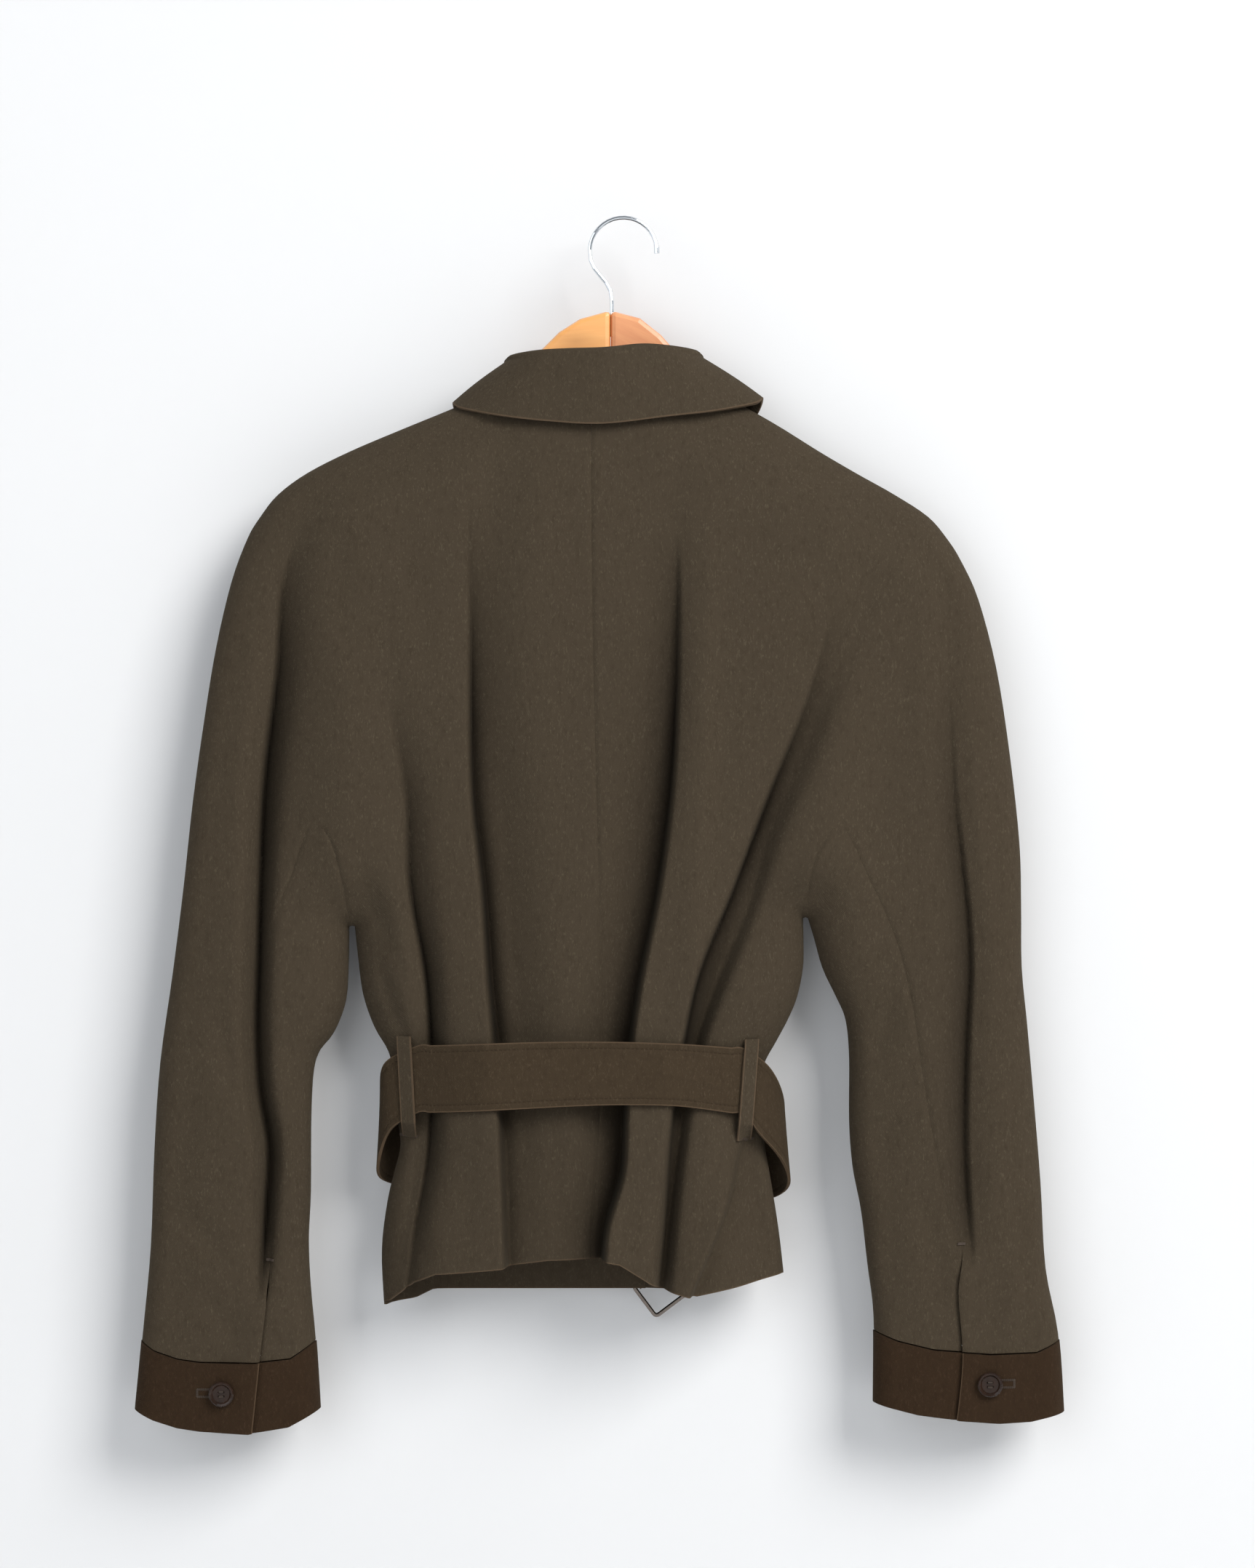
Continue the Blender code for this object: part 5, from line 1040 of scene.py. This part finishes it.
BELT_RIGHT = [Strap(Edge(103, -19, -604), Edge(97, -25, -652)),
              Strap(Edge(113, -7, -622), Edge(113, -11, -671)),
              Strap(Edge(115, 8, -640), Edge(120, 4, -688)),
              Strap(Edge(104, 24, -652), Edge(114, 22, -700)),
              Strap(Edge(84, 35, -660), Edge(94, 34, -708)),
              Strap(Edge(40, 40.5, -672), Edge(48, 40.5, -719)),
              Strap(Edge(-20, 41.5, -690), Edge(-12, 41.5, -737)),
              Strap(Edge(-70, 41.5, -706), Edge(-61, 41.5, -753)),
              Strap(Edge(-104, 41.5, -717), Edge(-95, 41.5, -764)),
              Strap(Edge(-122, 41.5, -728), Edge(-117, 41.5, -765)),
              Strap(Edge(-129, 41.5, -742), Edge(-128, 41.5, -757))]
BAR_MIDDLE = np.array([29.0, 33.0, -752.0])
BAR_ALONG = np.array([0.8, 0.0, 0.6])
BUCKLE_DOWN = np.array([0.6, 0.0, -0.8])
TOWARD_WALL = np.array([0.0, 1.0, 0.0])
FRAME_WIRE = 1.6
BAR_CLEAR = 0.5
SOLID_BELT_WALL = 2.4
FOLD_BACK = ((17.0, -1.0), (7.0, -4.5))
FOLD_AWAY = ((7.0, 0.0), (22.0, 1.0), (60.0, 4.0))
BELT_SPAN = np.arange(-152.0, 93.0, 4.0)
BELT_BACK_ENDS = (-146.0, 86.0)
BELT_BAND = (-585.0, -597.0, -610.0, -624.0, -638.0)


def taut(xs, heights):
    """The line of a rope drawn tight over a row of heights."""
    kept = []
    for x, height in zip(xs, heights):
        while len(kept) > 1:
            (x0, h0), (x1, h1) = kept[-2:]
            if (h1 - h0) * (x - x0) > (height - h0) * (x1 - x0):
                break
            kept.pop()
        kept.append((x, height))
    return np.interp(xs, [point[0] for point in kept], [point[1] for point in kept])


BELT_HEIGHTS = taut(BELT_SPAN, np.max([cloth_height(BELT_SPAN, np.full_like(BELT_SPAN, z), "back")
                                       for z in BELT_BAND], axis=0)) + BELT_GAP + SOLID_BELT_WALL


def belt_stations():
    """The belt's two edges, from its fold at the buckle round the waist to its free end."""
    half = BAR_ALONG * BELT_WIDTH / 2
    radius = FRAME_WIRE + BAR_CLEAR + SOLID_BELT_WALL
    middles = [BAR_MIDDLE - BUCKLE_DOWN * back + TOWARD_WALL * depth for back, depth in FOLD_BACK]
    middles += [BAR_MIDDLE + (BUCKLE_DOWN * math.cos(turn) + TOWARD_WALL * math.sin(turn)) * radius
                for turn in np.radians(np.linspace(-90, 90, 7))]
    middles += [BAR_MIDDLE - BUCKLE_DOWN * back + TOWARD_WALL * (radius - sink) for back, sink in FOLD_AWAY]
    stations = [(middle + half, middle - half) for middle in middles]
    stations += BELT_LEFT[::-1]
    for x in np.linspace(*BELT_BACK_ENDS, 25):
        out = -np.interp(x, BELT_SPAN, BELT_HEIGHTS)
        stations.append(((x, out, level(BELT_BACK_TOP, x)), (x, out, level(BELT_BACK_BOTTOM, x))))
    stations += BELT_RIGHT
    return np.array([[np.array(edge, float) for edge in station] for station in stations])


BELT_LINES = belt_stations()
SLOT_STATIONS = (1.0, 10.0)
SLOT_HALF = 0.1
print("belt stations:", len(BELT_LINES))

# %% The belt's cloth
BELT_CREASES = [(Point(28, -606), Point(75, -620), 0.9), (Point(-120, -612), Point(-70, -606), 0.6)]
BELT_CREASE_WIDTH = 2.6
BELT_GRID = (9, 30)


def belt_place(s, t):
    """A point of the belt's shown side: s runs along it, t from its upper edge to its lower one."""
    top, bottom = lines_at(BELT_LINES, s)
    points = spread(top, bottom, t[..., None])
    for first, last, rise in BELT_CREASES:
        share, aside = beside(first, last, points[..., 0], points[..., 2])
        near = np.exp(-(aside / BELT_CREASE_WIDTH) ** 2 - ((share - 0.5) / 0.45) ** 4)
        points[..., 1] -= np.where(points[..., 1] < 0, rise * near, 0.0)
    return points


def belt():
    """One strip with a slot for the prong at its fold."""
    cloth = Cloth("cloth_belt")
    columns, rows = (len(BELT_LINES) - 1) * BELT_GRID[0], BELT_GRID[1]
    verts = cloth.grid(columns, rows, belt_place, lambda s, t, points: np.minimum(t, 1 - t) * BELT_WIDTH)
    slot = set()
    for number, vert in enumerate(verts):
        place = (number % (columns + 1)) / columns * (len(BELT_LINES) - 1)
        share = number // (columns + 1) / rows
        if SLOT_STATIONS[0] <= place <= SLOT_STATIONS[1] and abs(share - 0.5) < SLOT_HALF:
            slot.add(vert)
    cut = [face for face in cloth.work.faces if all(vert in slot for vert in face.verts)]
    bmesh.ops.delete(cloth.work, geom=cut, context="FACES")
    return cloth.finish("belt_wool", belt_outward, BELT_WALL)


def belt_outward(point):
    """Away from the body's middle, whatever side the belt is on."""
    return Vector((point.x - CENTRE * MM, point.y * 3, 0))


PANELS["belt"] = belt()

# %% [markdown]
# ## The belt's loops
# Two narrow straps stand over the belt and are sewn down above and below it. A loop could be a bent box.
# A grid that leaves the back, passes over the belt and comes down again has real edges and a real gap.

# %% Belt loops
Loop = namedtuple("Loop", "side top_x top_z bottom_x bottom_z turn_z")
LOOPS = [Loop("left", -156, -583, -152, -655, -643.5), Loop("right", 91.5, -585, 86, -657, -644.5)]
LOOP_WALL = 1.5
LOOP_WIDTH = 10.0
LOOP_CLEAR = 1.4
LOOP_SEAT = 1.0
LOOP_GRID = (12, 60)
LOOP_RISE = (0.0, 0.2, 1.0, 1.0, 0.3, 0.0)


def belt_side(x):
    """How far out the belt lies at x, also where it turns round the body's sides."""
    left, right = [((strap.top.x + strap.bottom.x) / 2, -(strap.top.y + strap.bottom.y) / 2)
                   for strap in (BELT_LEFT[0], BELT_RIGHT[0])]
    ends = np.interp(BELT_BACK_ENDS, BELT_SPAN, BELT_HEIGHTS)
    round_sides = np.interp(x, [left[0], *BELT_BACK_ENDS, right[0]], [left[1], *ends, right[1]])
    across = (x > BELT_BACK_ENDS[0]) & (x < BELT_BACK_ENDS[1])
    return np.where(across, np.interp(x, BELT_SPAN, BELT_HEIGHTS), round_sides)


def belt_loop(loop):
    """One strap over the belt."""
    cloth = Cloth("cloth_loop_" + loop.side)
    top = float(level(BELT_BACK_TOP, (loop.top_x + loop.bottom_x) / 2))
    knees = [loop.bottom_z, loop.bottom_z + 2.5, loop.turn_z - 1, top + 1, loop.top_z - 1.5, loop.top_z]

    def place(s, t):
        z = spread(loop.top_z, loop.bottom_z, t)
        x = spread(loop.top_x, loop.bottom_x, t) + (s - 0.5) * LOOP_WIDTH
        lying = cloth_height(x, z, "back") + LOOP_SEAT + LOOP_WALL
        over = np.maximum(belt_side(x) + LOOP_CLEAR + LOOP_WALL, lying)
        share_over = np.interp(z, knees, LOOP_RISE)
        return np.stack([x, -spread(lying, over, share_over), z], axis=-1)

    cloth.grid(*LOOP_GRID, place, lambda s, t, points: np.minimum(s, 1 - s) * LOOP_WIDTH)
    return cloth.finish("wool", lambda point: BACKWARD, LOOP_WALL)


for loop in LOOPS:
    PANELS["belt_loop_" + loop.side] = belt_loop(loop)

# %% [markdown]
# ## Stitches and buttonholes
# Thread marks where the hands have been: the bars that hold the loops and the ends of the slits, the two
# rows in each button and the rim of each buttonhole. They could be painted, but raised thread catches
# light. A row of short thread tubes is made from cylinders that are laid along the cloth.

# %% Thread
TACK_TURNS = 16
TACK_HALF = 0.9
TACK_THREAD = 0.35
THREAD_BROWN = (0.03, 0.019, 0.012)
thread_board = Board("thread", roughness=0.7)
thread_tone = thread_board.noise(thread_board.place(), 2500.0, 1.0)
THREAD = thread_board.paint(Base_Color=thread_board.blend(thread_tone, THREAD_BROWN, (0.055, 0.036, 0.023)))


class Stitches:
    """Thread tubes that are gathered into one piece."""

    def __init__(self, name):
        self.name, self.work = name, bmesh.new()

    def tube(self, first, last, radius):
        """A short round of thread between two points, in millimetres."""
        first, last = Vector(first) * MM, Vector(last) * MM
        turn = Vector((0, 0, 1)).rotation_difference(last - first).to_matrix().to_4x4()
        turn.translation = (first + last) / 2
        bmesh.ops.create_cone(self.work, cap_ends=True, segments=8, radius1=radius * MM,
                              radius2=radius * MM, depth=(last - first).length, matrix=turn)

    def finish(self):
        piece = made_object(self.name, self.work, THREAD)
        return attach(piece, "jacket")


def on_back(x, z, lift):
    """A point just above the back."""
    return cloth_surface(np.array([x]), np.array([z]), "back", np.array([lift]))[0]


def bar_tack(name, centre, half, lean, lift):
    """A bar of tight thread turns across the end of a strap or a slit."""
    stitches = Stitches(name)
    for share in np.linspace(-1, 1, TACK_TURNS):
        x, z = centre.x + share * half, centre.z + share * half * lean
        stitches.tube(on_back(x, z - TACK_HALF, lift), on_back(x + 0.2, z + TACK_HALF, lift), TACK_THREAD)
    return stitches.finish()


EXTRAS = {name: [] for name in ("back_left", "back_right", "cuff_left", "cuff_right")}
for loop in LOOPS:
    low_end = Point(loop.bottom_x, loop.bottom_z + 1.2)
    EXTRAS["back_" + loop.side].append(
        bar_tack("tack_loop_" + loop.side, low_end, 5.5, -0.1, LOOP_WALL + 0.6))
for side in SIDES:
    top = SLIT_TOP[side] + 2.0
    EXTRAS["back_" + side].append(
        bar_tack("tack_slit_" + side, Point(float(level(SLEEVE_SEAM[side], top)), top), 2.6, 0.0, 0.5))

# %% Buttonholes and the thread in the buttons
HOLE_HALF = Point(11.0, 2.6)
HOLE_TURNS = Point(28, 8)
HOLE_SHIFT = 6.5
HOLE_STITCH = 0.8
HOLE_LIFT = 0.15
HOLE_SLANT = 0.15
HOLE_THREAD = 0.32
BUTTON_THREAD = 0.28
THREAD_HALF = 1.7
DISH_DEPTH = 1.2
THREAD_RISE = 0.3


def on_cuff(side, x, z, lift):
    """A point just above the cuff's upper layer."""
    lap_x = float(level(SLEEVE_SEAM[side], CUFF_LAP_Z))
    return on_back(x, z, CUFF_LIFT + CUFF_LAP_LIFT * math.exp(-((x - lap_x) / CUFF_LAP_FADE) ** 2) + lift)


def buttonhole(side, centre):
    """A rim of close stitches, mostly under the button, that shows on the side away from the cuff's edge."""
    outward = -1.0 if side == "left" else 1.0
    stitches = Stitches("buttonhole_" + side)
    middle = centre.x + outward * HOLE_SHIFT

    def stitch(x, z, run_x, run_z, slant=0.0):
        first = on_cuff(side, x - run_x, z - run_z, HOLE_LIFT)
        stitches.tube(first, on_cuff(side, x + run_x + slant, z + run_z, HOLE_LIFT), HOLE_THREAD)

    for share in np.linspace(-1, 1, HOLE_TURNS.x):
        for up in (-1, 1):
            stitch(middle + share * HOLE_HALF.x, centre.z + up * HOLE_HALF.z, 0.0, HOLE_STITCH, HOLE_SLANT)
    for share in np.linspace(-1, 1, HOLE_TURNS.z):
        stitch(middle + outward * HOLE_HALF.x, centre.z + share * HOLE_HALF.z, HOLE_STITCH, 0.0)
    return stitches.finish()


for side in SIDES:
    corners = [Vector(corner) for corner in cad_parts["cuff_button_" + side].bound_box]
    low = [min(corner[k] for corner in corners) / MM for k in range(3)]
    high = [max(corner[k] for corner in corners) / MM for k in range(3)]
    centre = Point((low[0] + high[0]) / 2, (low[2] + high[2]) / 2)
    print("button", side, centre, "front at", round(low[1], 2), "back at", round(high[1], 2))
    EXTRAS["cuff_" + side].append(buttonhole(side, centre))
    cross = Stitches("button_thread_" + side)
    face_y = low[1] + DISH_DEPTH - THREAD_RISE
    for up in (-1, 1):
        for shift in (-0.3, 0.3):
            z = centre.z + up * THREAD_HALF + shift
            first, last = (centre.x - THREAD_HALF, face_y, z), (centre.x + THREAD_HALF, face_y, z)
            cross.tube(first, last, BUTTON_THREAD)
    EXTRAS["cuff_" + side].append(cross.finish())

# %% [markdown]
# ## Horn buttons
# Each button is a shallow dish with a thick rim and four holes. It could be built again here, but its solid
# already has the rim that glints and the holes. So only its finish is new: dark horn with a cloud in it.

# %% Horn
horn_board = Board("horn", roughness=0.2, Specular_IOR_Level=0.25)
horn_cloud = horn_board.noise(horn_board.place(), 220.0, 3.0, 0.6)
HORN_DARK, HORN_BROWN = (0.006, 0.004, 0.003), (0.035, 0.017, 0.010)
HORN = horn_board.paint(Base_Color=horn_board.blend(horn_cloud, HORN_DARK, HORN_BROWN),
                        Roughness=horn_cloud * 0.12 + 0.1)


def refinish(node, finish):
    """Give a solid of the frame its own finish."""
    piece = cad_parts[node]
    piece.data.materials.clear()
    piece.data.materials.append(finish)


for side in SIDES:
    refinish("cuff_button_" + side, HORN)

# %% [markdown]
# ## Wood, wire and buckle
# The hanger is two pieces of wood glued at the middle, one pale and one red. The hook is bright wire and
# the buckle is dark nickel. An image of wood could be used, but a noise that is stretched reads as grain.


# %% Wood
COARSE_GRAIN = (9.0, 40.0, 90.0, 1.6, 4.0)
FINE_GRAIN = (40.0, 400.0, 900.0, 1.0, 2.0)


def wood_material(name, pale, deep, lean, knot=None):
    """Long grain that leans across the piece."""
    board = Board(name, roughness=0.4, Coat_Weight=0.25, Coat_Roughness=0.25)
    x, y, z = board.split(board.place())
    along_grain, across_grain = x + z * lean, z - x * lean
    noises = []
    for run, thick, pitch, scale, detail in (COARSE_GRAIN, FINE_GRAIN):
        stretched = {0: along_grain * run, 1: y * thick, 2: across_grain * pitch}
        stretched = board.node("ShaderNodeCombineXYZ", {}, stretched)
        noises.append(board.noise(stretched, scale, detail, 0.6))
    rings, fine = noises
    colour = board.blend(rings * 1.3 - 0.25, pale, deep)
    colour = board.blend(fine * 0.25, colour, [value * 0.72 for value in deep])
    if knot is not None:
        away = ((x - knot[0]) * (x - knot[0]) + (z - knot[1]) * (z - knot[1]) * 4.0).math("SQRT")
        smudge = (1.0 - away * (1.0 / knot[2])).math("MAXIMUM", 0.0)
        colour = board.blend(smudge * 0.5, colour, [value * 0.55 for value in deep])
    return board.paint(Base_Color=colour, Normal=board.bump(fine, 0.15, 0.2))


KNOT = (-0.034, -0.088, 0.02)
PALE_WOOD = wood_material("pale_wood", (0.97, 0.50, 0.175), (0.78, 0.33, 0.09), 0.06, KNOT)
RED_WOOD = wood_material("red_wood", (0.84, 0.39, 0.175), (0.62, 0.22, 0.09), -0.5)
refinish("hanger_left", PALE_WOOD)
refinish("hanger_right", RED_WOOD)


# %% Metals
def metal_material(name, tint, roughness):
    """Polished metal with faint wear."""
    board = Board(name, metallic=1.0)
    wear = board.noise(board.place(), 300.0, 4.0, 0.6)
    return board.paint(Base_Color=board.blend(wear * 0.4, tint, [value * 0.7 for value in tint]),
                       Roughness=wear * 0.16 + (roughness - 0.08))


STEEL = metal_material("steel", (0.62, 0.66, 0.70), 0.16)
NICKEL = metal_material("nickel", (0.20, 0.17, 0.15), 0.2)
refinish("hanger_hook", STEEL)
refinish("buckle_frame", NICKEL)
refinish("buckle_prong", NICKEL)

# %% [markdown]
# ## Putting the shells in the solids' place
# Each cloth shell now stands for the solid of the same name and hangs on the jacket. The solids stay in
# the frame for weight and touch, but they aren't shown.

# %% Cuts
Cut = namedtuple("Cut", "width length area held rests_on")
HANGER = ("hanger_left", "hanger_right")
CUTS = {
    "back_left": Cut(0.42, 0.72, 0.189, "hung", HANGER),
    "back_right": Cut(0.41, 0.72, 0.184, "hung", HANGER),
    "front_left": Cut(0.42, 0.72, 0.189, "hung", HANGER),
    "front_right": Cut(0.40, 0.72, 0.176, "hung", HANGER),
    "underarm_left": Cut(0.13, 0.40, 0.034, "hung", ("cloth_back_left",)),
    "underarm_right": Cut(0.16, 0.40, 0.046, "hung", ("cloth_back_right",)),
    "cuff_left": Cut(0.305, 0.052, 0.0156, "hung", ("cloth_back_left",)),
    "cuff_right": Cut(0.315, 0.052, 0.0161, "hung", ("cloth_back_right",)),
    "collar": Cut(0.46, 0.08, 0.029, "folded", ("cloth_back_left", "cloth_back_right")),
    "belt": Cut(0.90, 0.048, 0.0431, "hung", ("cloth_loop_left", "cloth_loop_right")),
    "belt_loop_left": Cut(0.0105, 0.088, None, "hung", ("cloth_back_left",)),
    "belt_loop_right": Cut(0.0105, 0.088, None, "hung", ("cloth_back_right",)),
}
SEWN_ON = {name: [] for name in CUTS}
for side in SIDES:
    SEWN_ON["cuff_" + side] = [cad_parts["cuff_button_" + side], *EXTRAS["cuff_" + side]]
    SEWN_ON["back_" + side] = EXTRAS["back_" + side]
for name, piece in PANELS.items():
    cut = CUTS[name]
    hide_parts(name)
    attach(piece, "jacket")
    area = sum(polygon.area for polygon in piece.data.polygons) / 2
    print(name, "area", round(area, 5), "cut", cut.area or cut.width * cut.length)

# %% [markdown]
# ## Wall, floor, light and camera
# The jacket hangs in front of a plain pale wall in soft daylight from the right, so its faint shadow falls
# to the left. A sun would give hard edges. A large area light, a weak one opposite and a pale sky keep them
# soft.

# %% Stage
WALL_Y = 0.046
FLOOR_Z = -1.25
pale_board = Board("pale_paint", roughness=0.95)
pale_tone = pale_board.noise(pale_board.place(), 3.0, 2.0)
PAINT_LOW, PAINT_HIGH = (0.73, 0.737, 0.745), (0.75, 0.755, 0.762)
PALE_PAINT = pale_board.paint(Base_Color=pale_board.blend(pale_tone, PAINT_LOW, PAINT_HIGH))


def stage_plane(name, size, matrix_rows):
    """A large plain plane, for the wall or the floor."""
    work = bmesh.new()
    bmesh.ops.create_grid(work, x_segments=1, y_segments=1, size=size)
    for vert in work.verts:
        vert.co = Vector([sum(a * b for a, b in zip(row, (*vert.co, 1.0))) for row in matrix_rows])
    plane = made_object(name, work, PALE_PAINT)


stage_plane("wall", 4.0, ((1, 0, 0, 0), (0, 0, 0, WALL_Y), (0, 1, 0, 4.0 + FLOOR_Z)))
stage_plane("floor", 4.0, ((1, 0, 0, 0), (0, 1, 0, WALL_Y - 4.0), (0, 0, 0, FLOOR_Z)))

# %% Light
Lamp = namedtuple("Lamp", "name place target size power colour")
LAMPS = [Lamp("window", (2.6, -3.4, 2.2), (0.0, 0.0, -0.4), 2.6, 246.0, (1.0, 0.985, 0.965)),
         Lamp("room", (-1.8, -4.2, 0.6), (0.0, 0.0, -0.4), 3.0, 60.0, (0.93, 0.96, 1.0))]
for lamp in LAMPS:
    light = bpy.data.lights.new(lamp.name, "AREA")
    light.shape, light.size, light.energy, light.color = "SQUARE", lamp.size, lamp.power, lamp.colour
    holder = bpy.data.objects.new(lamp.name, light)
    holder.location = lamp.place
    holder.rotation_euler = (Vector(lamp.target) - Vector(lamp.place)).to_track_quat("-Z", "Y").to_euler()
    bpy.context.collection.objects.link(holder)
sky = bpy.data.worlds.new("soft daylight")
sky.use_nodes = True
sky.node_tree.nodes["Background"].inputs["Color"].default_value = (0.93, 0.96, 1.0, 1.0)
sky.node_tree.nodes["Background"].inputs["Strength"].default_value = 0.26
bpy.context.scene.world = sky
bpy.context.scene.view_settings.view_transform = "Standard"

# %% Camera
camera_data = bpy.data.cameras.new("camera")
camera_data.lens, camera_data.sensor_width = 85.0, 36.0
camera = bpy.data.objects.new("camera", camera_data)
camera.location = (0.003, -2.65, -0.404)
camera.rotation_euler = (math.radians(90), 0.0, 0.0)
bpy.context.collection.objects.link(camera)
bpy.context.scene.camera = camera
